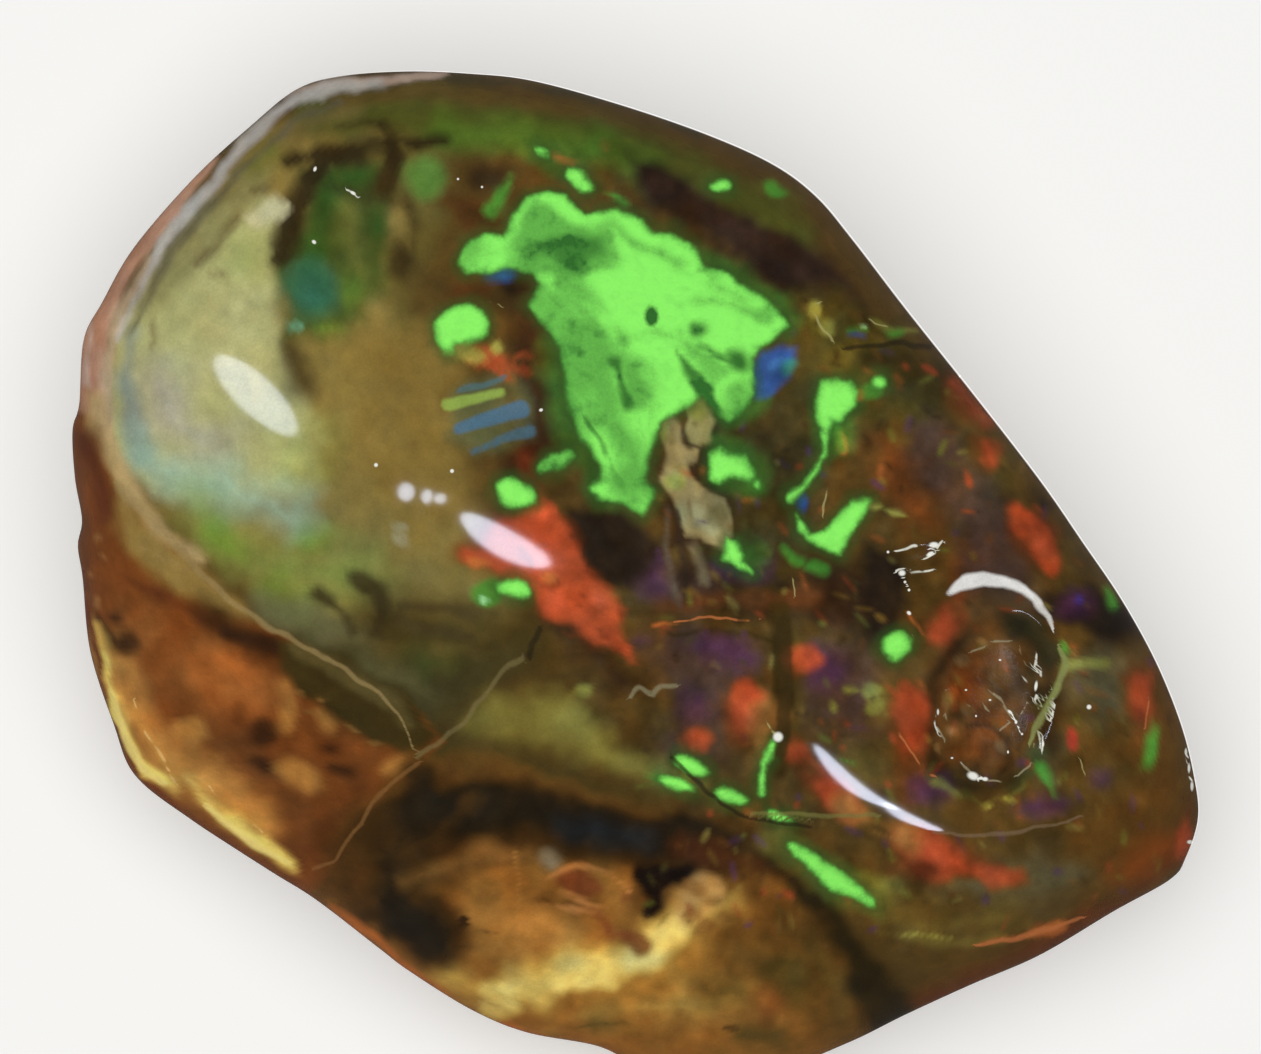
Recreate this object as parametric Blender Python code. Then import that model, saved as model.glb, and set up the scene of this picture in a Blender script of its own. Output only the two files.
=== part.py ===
# A polished freeform Ethiopian opal: one natural stone.
# It lies on a small flat spot, with its domed face up. The script is in metres, +Z up;
# +X and +Y are right and up as the domed face is looked at from above.
# Lengths and places below are in millimetres, and MM turns them into metres.

import math

import bmesh
import bpy
import numpy as np
from mathutils import Vector
from mathutils.geometry import delaunay_2d_cdt

MM = 0.001

# Outline of the stone as seen from above, clockwise from the left end
OUTLINE = (
    (-11.95, 5.15), (-11.55, 5.95), (-10.85, 7.15), (-9.55, 8.65), (-8.35, 9.75), (-7.35, 10.55),
    (-6.35, 10.85), (-4.95, 10.95), (-3.6, 10.9), (-2.25, 10.75), (-0.4, 10.25), (1.5, 9.6),
    (2.95, 8.95), (3.9, 8.25), (4.7, 7.3), (5.85, 5.8), (7.4, 3.85), (8.75, 2.1), (9.65, 0.8),
    (10.5, -0.45), (11.25, -1.8), (11.8, -3.15), (12.1, -4.3), (12.2, -5.2), (11.95, -6.05),
    (11.6, -6.55), (10.35, -7.25), (8.75, -8.2), (7.25, -8.85), (5.85, -9.5), (4.65, -10.1),
    (3.1, -10.7), (1.4, -10.95), (0.1, -10.65), (-0.85, -10.2), (-2.4, -9.9), (-3.6, -9.4),
    (-4.95, -8.55), (-5.6, -8.05), (-6.95, -7.0), (-8.0, -6.35), (-9.7, -5.25), (-10.9, -4.3),
    (-11.35, -3.2), (-11.85, -1.6), (-12.0, 0.0), (-12.1, 0.7), (-12.0, 1.25), (-12.15, 2.15),
    (-12.2, 3.2), (-12.05, 3.75),
)

# Domed face: height of its crown above the resting plane, where the crown is, the direction of
# the dome's long axis, and its radius of curvature along and across that axis
THICKNESS = 10.6
CROWN = (-1.0, 2.5)
LONG_AXIS = math.radians(-27)
RADIUS_ALONG = 32.0
RADIUS_ACROSS = 22.0

# Ground facets below the domed face. Each starts at a ridge, a line of points with the stone's
# body on its left, and falls away from it by the given slope (fall over run).
LEFT_RIDGE = (
    (-14.6, 12.0), (-12.6, 6.6), (-11.6, 3.05), (-10.9, 1.6), (-9.7, 0.45), (-8.3, -0.85),
    (-6.9, -1.65), (-5.45, -2.55), (-4.75, -3.9), (-3.2, -7.6), (-1.2, -12.6),
)
LEFT_SLOPE = 0.54
FRONT_RIDGE = (
    (-20.0, -2.1), (-9.8, -3.3), (-4.75, -3.9), (0.1, -4.6), (2.25, -5.1), (3.35, -5.4),
    (8.2, -6.9), (20.0, -10.5),
)
FRONT_SLOPE = 0.48
RIGHT_RIDGE = (
    (-20.0, -2.2), (-4.75, -4.0), (0.1, -4.7), (2.25, -5.2), (4.65, -5.35), (6.6, -5.5),
    (7.9, -5.5), (9.2, -5.35), (10.4, -4.6), (12.6, -2.6), (16.0, 0.6),
)
RIGHT_SLOPE = 0.48
RIDGE_ROUNDING = 0.16

# Where the left and front facets meet, and the front and right ones
LEFT_FRONT_EDGE = ((-4.75, -3.9), (-7.1, -7.0))
FRONT_RIGHT_EDGE = ((3.35, -5.4), (5.7, -9.4))

# Narrow bevel along the upper left rim: the middle of its stretch, how far it runs from there,
# how far it reaches in, its slope, and how much wider the rim's rounding is there
BEVEL_MIDDLE = (-9.6, 8.6)
BEVEL_SPREAD = 6.0
BEVEL_WIDTH = 0.95
BEVEL_SLOPE = 0.5
BEVEL_ROUNDING = 0.9

# Rounded rim: height of the widest line round the stone, as a share of the height of the face
# above it, and the width of the rounding above and below that line
GIRDLE_SHARE = 0.68
RIM_WIDTH = 1.5
UNDER_RIM_WIDTH = 3.2

# Underside: a shallow bowl that ends in the flat spot the stone rests on
FLAT_CENTRE = (-0.8, 0.5)
FLAT_RADIUS = 2.6
FLAT_SIDES = 28
UNDER_RISE = 2.1
BOWL_SIDE = 0.35

# Oval pit with a rolled edge near the right end, and the small chipped pit to its upper left
PIT_CENTRE = (7.6, -2.7)
PIT_RADII = (1.42, 2.2)
PIT_TILT = math.radians(-14)
PIT_DEPTH = 0.6
CHIP_CENTRE = (5.9, 0.42)
CHIP_RADII = (0.55, 0.3)
CHIP_TILT = math.radians(20)
CHIP_DEPTH = 0.22

# Low waves that hand polishing leaves on the whole surface
WAVE_HEIGHT = 0.035
WAVE_LENGTHS = (9.0, 13.0, 6.5)
WAVE_ANGLES = (0.4, 1.9, 3.3)

# Spacing of the points of the mesh
OUTLINE_STEP = 0.55
TOP_STEP = 0.72
UNDER_STEP = 1.15
RIDGE_STEP = 0.5
RIDGE_ROWS = (0.0, -0.3, 0.3)
LINE_GAP = 0.22
TOP_RINGS = (0.04, 0.17, 0.42, 0.8, 1.25)
UNDER_RINGS = (0.1, 0.42, 1.0, 1.8)
PIT_RINGS = (0.3, 0.62, 0.84, 1.0, 1.18)
CHIP_RINGS = (0.45, 1.0)

BODY_COLOUR = (0.20, 0.10, 0.035, 1.0)
BODY_ROUGHNESS = 0.08
BODY_IOR = 1.45


def smooth_curve(points, step, closed):
    """Points about step apart on a smooth curve through the given ones."""
    count = len(points)
    made = []
    for i in range(count if closed else count - 1):
        a, b, c, d = (
            np.array(points[(i + k) % count if closed else min(max(i + k, 0), count - 1)], float)
            for k in (-1, 0, 1, 2)
        )
        parts = max(1, round(float(np.linalg.norm(c - b)) / step))
        for t in np.arange(parts) / parts:
            made.append(
                0.5 * (2 * b + (c - a) * t + (2 * a - 5 * b + 4 * c - d) * t**2
                       + (3 * b - a - 3 * c + d) * t**3)
            )
    if not closed:
        made.append(np.array(points[-1], float))
    return np.array(made)


def nearest_on(line, x, y, closed):
    """Distance from each (x, y) to a line of points, and on which side of it the point is."""
    ends = np.roll(line, -1, axis=0) if closed else line[1:]
    starts = line if closed else line[:-1]
    best = np.full(np.shape(x), np.inf)
    side = np.zeros(np.shape(x))
    for (ax, ay), (bx, by) in zip(starts, ends):
        dx, dy = bx - ax, by - ay
        t = np.clip(((x - ax) * dx + (y - ay) * dy) / (dx * dx + dy * dy), 0, 1)
        gap = np.hypot(x - ax - t * dx, y - ay - t * dy)
        turn = dx * (y - ay) - dy * (x - ax)
        nearer = gap < best - 1e-9
        side = np.where(nearer, turn, side)
        best = np.minimum(best, gap)
    return best, side


def inside_outline(x, y, outline):
    """True where (x, y) is inside the closed outline."""
    hit = np.zeros(np.shape(x), bool)
    for (ax, ay), (bx, by) in zip(outline, np.roll(outline, -1, axis=0)):
        crosses = (ay > y) != (by > y)
        rise = np.where(crosses, by - ay, 1.0)
        hit ^= crosses & (x < ax + (y - ay) * (bx - ax) / rise)
    return hit


def soft_max(a, b, rounding):
    """The larger of a and b, with the corner between them rounded."""
    return 0.5 * (a + b + np.sqrt((a - b) ** 2 + rounding**2))


def quarter_round(distance, width):
    """0 at the rim and 1 from width inwards, upright at the rim and level at the end."""
    t = np.clip(distance / width, 0, 1)
    return np.sqrt(1 - (1 - t) ** 2)


def oval(x, y, centre, radii, tilt):
    """0 at the middle of an oval and 1 on its edge."""
    dx, dy = x - centre[0], y - centre[1]
    along = dx * math.cos(tilt) + dy * math.sin(tilt)
    across = -dx * math.sin(tilt) + dy * math.cos(tilt)
    return np.hypot(along / radii[0], across / radii[1])


def waves(x, y):
    """Slow unevenness of the polished surface."""
    total = 0.0
    for k, (length, angle) in enumerate(zip(WAVE_LENGTHS, WAVE_ANGLES)):
        total = total + np.sin(
            2 * math.pi * (x * math.cos(angle) + y * math.sin(angle)) / length + 1.7 * k
        )
    return WAVE_HEIGHT * total / len(WAVE_LENGTHS)


def facet_fall(x, y):
    """How far the ground facets lie below the domed face, and 0 where there is none."""
    fall = np.zeros(np.shape(x))
    for ridge, slope in (
        (LEFT_RIDGE, LEFT_SLOPE), (FRONT_RIDGE, FRONT_SLOPE), (RIGHT_RIDGE, RIGHT_SLOPE)
    ):
        gap, side = nearest_on(smooth_curve(ridge, RIDGE_STEP, False), x, y, False)
        fall = soft_max(fall, np.where(side < 0, gap, -gap) * slope, RIDGE_ROUNDING)
    return fall


def pits(x, y):
    """Depth of the oval pit and of the chipped one."""
    deep = (1 - np.clip(oval(x, y, PIT_CENTRE, PIT_RADII, PIT_TILT), 0, 1) ** 4) ** 2
    chip = (1 - np.clip(oval(x, y, CHIP_CENTRE, CHIP_RADII, CHIP_TILT), 0, 1) ** 2) ** 2
    return PIT_DEPTH * deep + CHIP_DEPTH * chip


def ground_height(x, y):
    """Height of the domed face and its facets, without the pits and the rim."""
    dx, dy = x - CROWN[0], y - CROWN[1]
    along = dx * math.cos(LONG_AXIS) + dy * math.sin(LONG_AXIS)
    across = -dx * math.sin(LONG_AXIS) + dy * math.cos(LONG_AXIS)
    dome = THICKNESS - along**2 / (2 * RADIUS_ALONG) - across**2 / (2 * RADIUS_ACROSS)
    return dome - facet_fall(x, y) + waves(x, y)


def top_height(x, y, rim_distance):
    """Height of the upper surface, from the domed face to the rounded rim."""
    from_middle = np.hypot(x - BEVEL_MIDDLE[0], y - BEVEL_MIDDLE[1])
    bevel_here = np.clip(1.5 - from_middle / BEVEL_SPREAD, 0, 1)
    bevel = BEVEL_SLOPE * bevel_here * np.clip(BEVEL_WIDTH - rim_distance, 0, None)
    ground = ground_height(x, y)
    girdle = GIRDLE_SHARE * ground
    rise = ground - bevel - pits(x, y) - girdle
    return girdle + rise * quarter_round(rim_distance, RIM_WIDTH + BEVEL_ROUNDING * bevel_here)


def under_height(x, y, rim_distance):
    """Height of the underside, from the rounded rim down to the flat spot."""
    from_flat = np.hypot(x - FLAT_CENTRE[0], y - FLAT_CENTRE[1])
    run = np.clip(from_flat - FLAT_RADIUS, 0, None)
    share = run / (run + np.clip(rim_distance, 0, None) + 1e-9)
    bowl = UNDER_RISE * share * (BOWL_SIDE + (1 - BOWL_SIDE) * share)
    bowl = bowl + 2 * waves(x, y) * share * (1 - share)
    girdle = GIRDLE_SHARE * ground_height(x, y)
    height = girdle - (girdle - bowl) * quarter_round(rim_distance, UNDER_RIM_WIDTH)
    return np.where(from_flat <= FLAT_RADIUS + 1e-6, 0.0, height)


def inner_ring(outline, distance):
    """The outline moved inwards, without the points that would cross at a tight bend."""
    before, after = np.roll(outline, 1, axis=0), np.roll(outline, -1, axis=0)
    along = (after - before) / np.linalg.norm(after - before, axis=1)[:, None]
    ring = outline + distance * np.stack([along[:, 1], -along[:, 0]], axis=1)
    rim, _ = nearest_on(outline, ring[:, 0], ring[:, 1], True)
    return ring[rim > 0.97 * distance]


def beside(line, distance):
    """A line of points moved sideways."""
    along = np.gradient(line, axis=0)
    along = along / np.linalg.norm(along, axis=1)[:, None]
    return line + distance * np.stack([along[:, 1], -along[:, 0]], axis=1)


def oval_ring(centre, radii, tilt, scale, count):
    """Points round an oval, back to the first one."""
    turn = np.arange(count + 1) * 2 * math.pi / count
    along, across = scale * radii[0] * np.cos(turn), scale * radii[1] * np.sin(turn)
    x = centre[0] + along * math.cos(tilt) - across * math.sin(tilt)
    y = centre[1] + along * math.sin(tilt) + across * math.cos(tilt)
    return np.stack([x, y], axis=1)


def grid_points(step, outline):
    """Points of an even triangular grid over the outline."""
    low, high = outline.min(axis=0), outline.max(axis=0)
    rows = np.arange(low[1], high[1], step * math.sqrt(0.75))
    points = [
        (x + 0.5 * step * (k % 2), y)
        for k, y in enumerate(rows)
        for x in np.arange(low[0], high[0], step)
    ]
    return np.array(points)


def clear_points(points, outline, from_rim, placed, gap):
    """The points that lie far enough inside the rim and away from those already placed."""
    rim, _ = nearest_on(outline, points[:, 0], points[:, 1], True)
    points = points[inside_outline(points[:, 0], points[:, 1], outline) & (rim > from_rim)]
    if len(placed):
        gaps = np.linalg.norm(points[:, None] - placed[None], axis=2).min(axis=1)
        points = points[gaps > gap]
    return points


def gather(outline, rings, lines, step):
    """The outline, its inner rings, the feature lines and the grid points that clear them all,
    with the edges that join each feature line's points."""
    kept = [outline] + [inner_ring(outline, d) for d in rings]
    from_rim = rings[-1] + 0.35 * step
    placed = np.empty((0, 2))
    edges = []
    for line in lines:
        line = clear_points(line, outline, from_rim, placed, LINE_GAP)
        runs = np.linalg.norm(np.diff(line, axis=0), axis=1)
        first = sum(len(points) for points in kept)
        edges += [(first + int(i), first + int(i) + 1) for i in np.flatnonzero(runs < step)]
        kept.append(line)
        placed = np.concatenate([placed, line])
    kept.append(clear_points(grid_points(step, outline), outline, from_rim, placed, 0.62 * step))
    return np.concatenate(kept), edges


def triangulate(points, edges, rim_count):
    """Triangles over the points, whose first rim_count ones are the outline."""
    flat = [Vector((float(x), float(y))) for x, y in points]
    found = delaunay_2d_cdt(flat, edges, [list(range(rim_count))], 1, 1e-6)
    places = np.array([tuple(p) for p in found[0]])
    return places, [tuple(face) for face in found[2]]


def surface(points, edges, outline, height_of):
    """Corner places and triangles of one side of the stone."""
    places, faces = triangulate(points, edges, len(outline))
    rim, _ = nearest_on(outline, places[:, 0], places[:, 1], True)
    rim = np.where(rim < 1e-4, 0.0, rim)
    heights = height_of(places[:, 0], places[:, 1], rim)
    return np.column_stack([places, heights]), faces


def stone_mesh():
    """The closed surface of the stone."""
    outline = smooth_curve(OUTLINE, OUTLINE_STEP, True)
    ridges = [
        beside(smooth_curve(line, RIDGE_STEP, False), distance)
        for distance in RIDGE_ROWS
        for line in (
            LEFT_RIDGE[1:9], FRONT_RIDGE[2:6], RIGHT_RIDGE[3:10], LEFT_FRONT_EDGE,
            FRONT_RIGHT_EDGE,
        )
    ]
    pit = [oval_ring(PIT_CENTRE, PIT_RADII, PIT_TILT, s, 20) for s in PIT_RINGS]
    chip = [oval_ring(CHIP_CENTRE, CHIP_RADII, CHIP_TILT, s, 9) for s in CHIP_RINGS]
    flat_edge = oval_ring(FLAT_CENTRE, (FLAT_RADIUS, FLAT_RADIUS), 0.0, 1.0, FLAT_SIDES)
    top, top_edges = gather(outline, TOP_RINGS, pit + chip + ridges, TOP_STEP)
    under, under_edges = gather(outline, UNDER_RINGS, [flat_edge], UNDER_STEP)

    mesh = bmesh.new()
    for points, edges, height_of in (
        (top, top_edges, top_height), (under, under_edges, under_height)
    ):
        places, faces = surface(points, edges, outline, height_of)
        corners = [mesh.verts.new(Vector(place) * MM) for place in places.tolist()]
        for face in faces:
            mesh.faces.new([corners[i] for i in face])
    bmesh.ops.remove_doubles(mesh, verts=mesh.verts[:], dist=0.001 * MM)
    bmesh.ops.recalc_face_normals(mesh, faces=mesh.faces[:])
    data = bpy.data.meshes.new("opal")
    mesh.to_mesh(data)
    mesh.free()
    data.shade_smooth()
    data.set_sharp_from_angle(angle=math.radians(30))
    return data


def opal_material():
    """Translucent brown opal with a glassy polish."""
    material = bpy.data.materials.new("polished_opal")
    material.use_nodes = True
    surface_shader = material.node_tree.nodes["Principled BSDF"]
    surface_shader.inputs["Base Color"].default_value = BODY_COLOUR
    surface_shader.inputs["Roughness"].default_value = BODY_ROUGHNESS
    surface_shader.inputs["Metallic"].default_value = 0.0
    surface_shader.inputs["IOR"].default_value = BODY_IOR
    material.diffuse_color = BODY_COLOUR
    return material


def main():
    for thing in list(bpy.data.objects):
        bpy.data.objects.remove(thing)
    stone = bpy.data.objects.new("opal", stone_mesh())
    stone.data.materials.append(opal_material())
    bpy.context.scene.collection.objects.link(stone)


main()
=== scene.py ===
import math

import bpy
import numpy as np
from mathutils import Matrix, Vector


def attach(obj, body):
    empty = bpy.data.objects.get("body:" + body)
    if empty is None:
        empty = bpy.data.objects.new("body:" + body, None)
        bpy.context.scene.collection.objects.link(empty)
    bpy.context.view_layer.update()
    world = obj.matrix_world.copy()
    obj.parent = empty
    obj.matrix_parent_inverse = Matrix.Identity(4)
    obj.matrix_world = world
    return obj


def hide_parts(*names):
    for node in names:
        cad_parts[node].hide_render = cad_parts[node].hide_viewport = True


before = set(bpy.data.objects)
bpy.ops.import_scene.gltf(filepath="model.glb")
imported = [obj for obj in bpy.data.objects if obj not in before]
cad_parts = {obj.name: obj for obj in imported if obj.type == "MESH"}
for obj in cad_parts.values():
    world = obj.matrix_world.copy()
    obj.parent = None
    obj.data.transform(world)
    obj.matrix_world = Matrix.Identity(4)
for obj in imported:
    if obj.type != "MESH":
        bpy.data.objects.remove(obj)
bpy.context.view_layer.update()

# A polished freeform Ethiopian opal, seen from above.
# Shapes are in millimetres, as the solid's source has them, and MM turns them into metres.
# Markings are placed in pixels of the photograph, and photo_places says which pixel of it shows
# a point of the stone. Colours are written as they look in the photograph, from 0 to 255.

MM = 0.001
PHOTO_SIZE = (1261, 1054)
PIXELS_PER_MM = 46.0
STONE_MIDDLE_PIXEL = (636.5, 577.5)

# Camera: height above the floor, and the height at which the photograph's scale holds

CAMERA_HEIGHT = 400.0
SENSOR_WIDTH = 36.0
SCALE_HEIGHT = 3.5
CAMERA_PLACE = (
    (PHOTO_SIZE[0] / 2 - STONE_MIDDLE_PIXEL[0]) / PIXELS_PER_MM,
    (STONE_MIDDLE_PIXEL[1] - PHOTO_SIZE[1] / 2) / PIXELS_PER_MM,
)

# Shape of the stone

OUTLINE = (
    (-11.95, 5.15), (-11.55, 5.95), (-10.85, 7.15), (-9.55, 8.65), (-8.35, 9.75), (-7.35, 10.55),
    (-6.35, 10.85), (-4.95, 10.95), (-3.6, 10.9), (-2.25, 10.75), (-0.4, 10.25), (1.5, 9.6),
    (2.95, 8.95), (3.9, 8.25), (4.7, 7.3), (5.85, 5.8), (7.4, 3.85), (8.75, 2.1), (9.65, 0.8),
    (10.5, -0.45), (11.25, -1.8), (11.8, -3.15), (12.1, -4.3), (12.2, -5.2), (11.95, -6.05),
    (11.6, -6.55), (10.35, -7.25), (8.75, -8.2), (7.25, -8.85), (5.85, -9.5), (4.65, -10.1),
    (3.1, -10.7), (1.4, -10.95), (0.1, -10.65), (-0.85, -10.2), (-2.4, -9.9), (-3.6, -9.4),
    (-4.95, -8.55), (-5.6, -8.05), (-6.95, -7.0), (-8.0, -6.35), (-9.7, -5.25), (-10.9, -4.3),
    (-11.35, -3.2), (-11.85, -1.6), (-12.0, 0.0), (-12.1, 0.7), (-12.0, 1.25), (-12.15, 2.15),
    (-12.2, 3.2), (-12.05, 3.75),
)
THICKNESS = 10.6
CROWN = (-1.0, 2.5)
LONG_AXIS = math.radians(-27)
RADIUS_ALONG = 32.0
RADIUS_ACROSS = 22.0
LEFT_RIDGE = (
    (-14.6, 12.0), (-12.6, 6.6), (-11.6, 3.05), (-10.9, 1.6), (-9.7, 0.45), (-8.3, -0.85),
    (-6.9, -1.65), (-5.45, -2.55), (-4.75, -3.9), (-3.2, -7.6), (-1.2, -12.6),
)
LEFT_SLOPE = 0.54
FRONT_RIDGE = (
    (-20.0, -2.1), (-9.8, -3.3), (-4.75, -3.9), (0.1, -4.6), (2.25, -5.1), (3.35, -5.4),
    (8.2, -6.9), (20.0, -10.5),
)
FRONT_SLOPE = 0.48
RIGHT_RIDGE = (
    (-20.0, -2.2), (-4.75, -4.0), (0.1, -4.7), (2.25, -5.2), (4.65, -5.35), (6.6, -5.5),
    (7.9, -5.5), (9.2, -5.35), (10.4, -4.6), (12.6, -2.6), (16.0, 0.6),
)
RIGHT_SLOPE = 0.48
RIDGE_ROUNDING = 0.16
BEVEL_MIDDLE = (-9.6, 8.6)
BEVEL_SPREAD = 6.0
BEVEL_WIDTH = 0.95
BEVEL_SLOPE = 0.5
BEVEL_ROUNDING = 0.9
GIRDLE_SHARE = 0.68
RIM_WIDTH = 1.5
UNDER_RIM_WIDTH = 3.2
FLAT_CENTRE = (-0.8, 0.5)
FLAT_RADIUS = 2.6
UNDER_RISE = 2.1
BOWL_SIDE = 0.35
PIT_CENTRE = (7.6, -2.7)
PIT_RADII = (1.42, 2.2)
PIT_TILT = math.radians(-14)
PIT_DEPTH = 0.6
CHIP_CENTRE = (5.9, 0.42)
CHIP_RADII = (0.55, 0.3)
CHIP_TILT = math.radians(20)
CHIP_DEPTH = 0.22
WAVE_HEIGHT = 0.035
WAVE_LENGTHS = (9.0, 13.0, 6.5)
WAVE_ANGLES = (0.4, 1.9, 3.3)

# The fine mesh: a net of rays and rings round a hub
HUB = (2.0, -0.6)
RAYS = 640
TOP_RINGS = 130
UNDER_RINGS = 20
FINE_STEP = 0.09


def smooth_curve(points, step, closed):
    """Points about step apart on a smooth curve through the given ones."""
    count = len(points)
    made = []
    for i in range(count if closed else count - 1):
        a, b, c, d = (
            np.array(points[(i + k) % count if closed else min(max(i + k, 0), count - 1)], float)
            for k in (-1, 0, 1, 2)
        )
        parts = max(1, round(float(np.linalg.norm(c - b)) / step))
        for t in np.arange(parts) / parts:
            made.append(
                0.5 * (2 * b + (c - a) * t + (2 * a - 5 * b + 4 * c - d) * t**2
                       + (3 * b - a - 3 * c + d) * t**3)
            )
    if not closed:
        made.append(np.array(points[-1], float))
    return np.array(made)


def nearest_on(line, x, y, closed):
    """Distance from each (x, y) to a line of points, and on which side of it the point is."""
    ends = np.roll(line, -1, axis=0) if closed else line[1:]
    starts = line if closed else line[:-1]
    best = np.full(np.shape(x), np.inf)
    side = np.zeros(np.shape(x))
    for (ax, ay), (bx, by) in zip(starts, ends):
        dx, dy = bx - ax, by - ay
        t = np.clip(((x - ax) * dx + (y - ay) * dy) / (dx * dx + dy * dy), 0, 1)
        gap = np.hypot(x - ax - t * dx, y - ay - t * dy)
        turn = dx * (y - ay) - dy * (x - ax)
        nearer = gap < best - 1e-9
        side = np.where(nearer, turn, side)
        best = np.minimum(best, gap)
    return best, side


def soft_max(a, b, rounding):
    """The larger of a and b, with the corner between them rounded."""
    return 0.5 * (a + b + np.sqrt((a - b) ** 2 + rounding**2))


def quarter_round(distance, width):
    """0 at the rim and 1 from width inwards, upright at the rim and level at the end."""
    t = np.clip(distance / width, 0, 1)
    return np.sqrt(1 - (1 - t) ** 2)


def oval(x, y, centre, radii, tilt):
    """0 at the middle of an oval and 1 on its edge."""
    dx, dy = x - centre[0], y - centre[1]
    along = dx * math.cos(tilt) + dy * math.sin(tilt)
    across = -dx * math.sin(tilt) + dy * math.cos(tilt)
    return np.hypot(along / radii[0], across / radii[1])


def waves(x, y):
    """Slow unevenness of the polished surface."""
    total = 0.0
    for k, (length, angle) in enumerate(zip(WAVE_LENGTHS, WAVE_ANGLES)):
        total = total + np.sin(
            2 * math.pi * (x * math.cos(angle) + y * math.sin(angle)) / length + 1.7 * k
        )
    return WAVE_HEIGHT * total / len(WAVE_LENGTHS)


def facet_fall(x, y):
    """How far the ground facets lie below the domed face, and 0 where there is none."""
    fall = np.zeros(np.shape(x))
    for ridge, slope in (
        (LEFT_RIDGE, LEFT_SLOPE), (FRONT_RIDGE, FRONT_SLOPE), (RIGHT_RIDGE, RIGHT_SLOPE)
    ):
        gap, side = nearest_on(smooth_curve(ridge, 0.5, False), x, y, False)
        fall = soft_max(fall, np.where(side < 0, gap, -gap) * slope, RIDGE_ROUNDING)
    return fall


def pits(x, y):
    """Depth of the oval pit and of the chipped one."""
    deep = (1 - np.clip(oval(x, y, PIT_CENTRE, PIT_RADII, PIT_TILT), 0, 1) ** 4) ** 2
    chip = (1 - np.clip(oval(x, y, CHIP_CENTRE, CHIP_RADII, CHIP_TILT), 0, 1) ** 2) ** 2
    return PIT_DEPTH * deep + CHIP_DEPTH * chip


def ground_height(x, y):
    """Height of the domed face and its facets, without the pits and the rim."""
    dx, dy = x - CROWN[0], y - CROWN[1]
    along = dx * math.cos(LONG_AXIS) + dy * math.sin(LONG_AXIS)
    across = -dx * math.sin(LONG_AXIS) + dy * math.cos(LONG_AXIS)
    dome = THICKNESS - along**2 / (2 * RADIUS_ALONG) - across**2 / (2 * RADIUS_ACROSS)
    return dome - facet_fall(x, y) + waves(x, y)


def top_height(x, y, rim_distance):
    """Height of the upper surface, from the domed face to the rounded rim."""
    from_middle = np.hypot(x - BEVEL_MIDDLE[0], y - BEVEL_MIDDLE[1])
    bevel_here = np.clip(1.5 - from_middle / BEVEL_SPREAD, 0, 1)
    bevel = BEVEL_SLOPE * bevel_here * np.clip(BEVEL_WIDTH - rim_distance, 0, None)
    ground = ground_height(x, y)
    girdle = GIRDLE_SHARE * ground
    rise = ground - bevel - pits(x, y) - girdle
    return girdle + rise * quarter_round(rim_distance, RIM_WIDTH + BEVEL_ROUNDING * bevel_here)


def under_height(x, y, rim_distance):
    """Height of the underside, from the rounded rim down to the flat spot."""
    from_flat = np.hypot(x - FLAT_CENTRE[0], y - FLAT_CENTRE[1])
    run = np.clip(from_flat - FLAT_RADIUS, 0, None)
    share = run / (run + np.clip(rim_distance, 0, None) + 1e-9)
    bowl = UNDER_RISE * share * (BOWL_SIDE + (1 - BOWL_SIDE) * share)
    bowl = bowl + 2 * waves(x, y) * share * (1 - share)
    girdle = GIRDLE_SHARE * ground_height(x, y)
    height = girdle - (girdle - bowl) * quarter_round(rim_distance, UNDER_RIM_WIDTH)
    return np.where(from_flat <= FLAT_RADIUS + 1e-6, 0.0, height)


def outline_rays(outline):
    """Where the rays from the hub meet the outline."""
    turn = -np.arange(RAYS) * 2 * math.pi / RAYS
    rays = np.stack([np.cos(turn), np.sin(turn)], axis=1)
    reach = np.zeros(RAYS)
    starts = outline - np.array(HUB)
    ends = np.roll(outline, -1, axis=0) - np.array(HUB)
    for (ax, ay), (bx, by) in zip(starts, ends):
        ex, ey = bx - ax, by - ay
        cross = rays[:, 0] * ey - rays[:, 1] * ex
        cross = np.where(np.abs(cross) < 1e-12, 1e-12, cross)
        far = (ax * ey - ay * ex) / cross
        part = (ax * rays[:, 1] - ay * rays[:, 0]) / cross
        reach = np.where((part >= 0) & (part <= 1) & (far > reach), far, reach)
    return rays, reach


def top_shares():
    """Shares of the way from the hub to the rim, closer together only near the rim."""
    t = np.arange(1, TOP_RINGS + 1) / TOP_RINGS
    return t + 0.7 * t**6 * (1 - t)


def under_shares():
    """The same for the underside, whose rim is rounder."""
    return 1 - (1 - np.arange(1, UNDER_RINGS + 1) / UNDER_RINGS) ** 1.8


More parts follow.
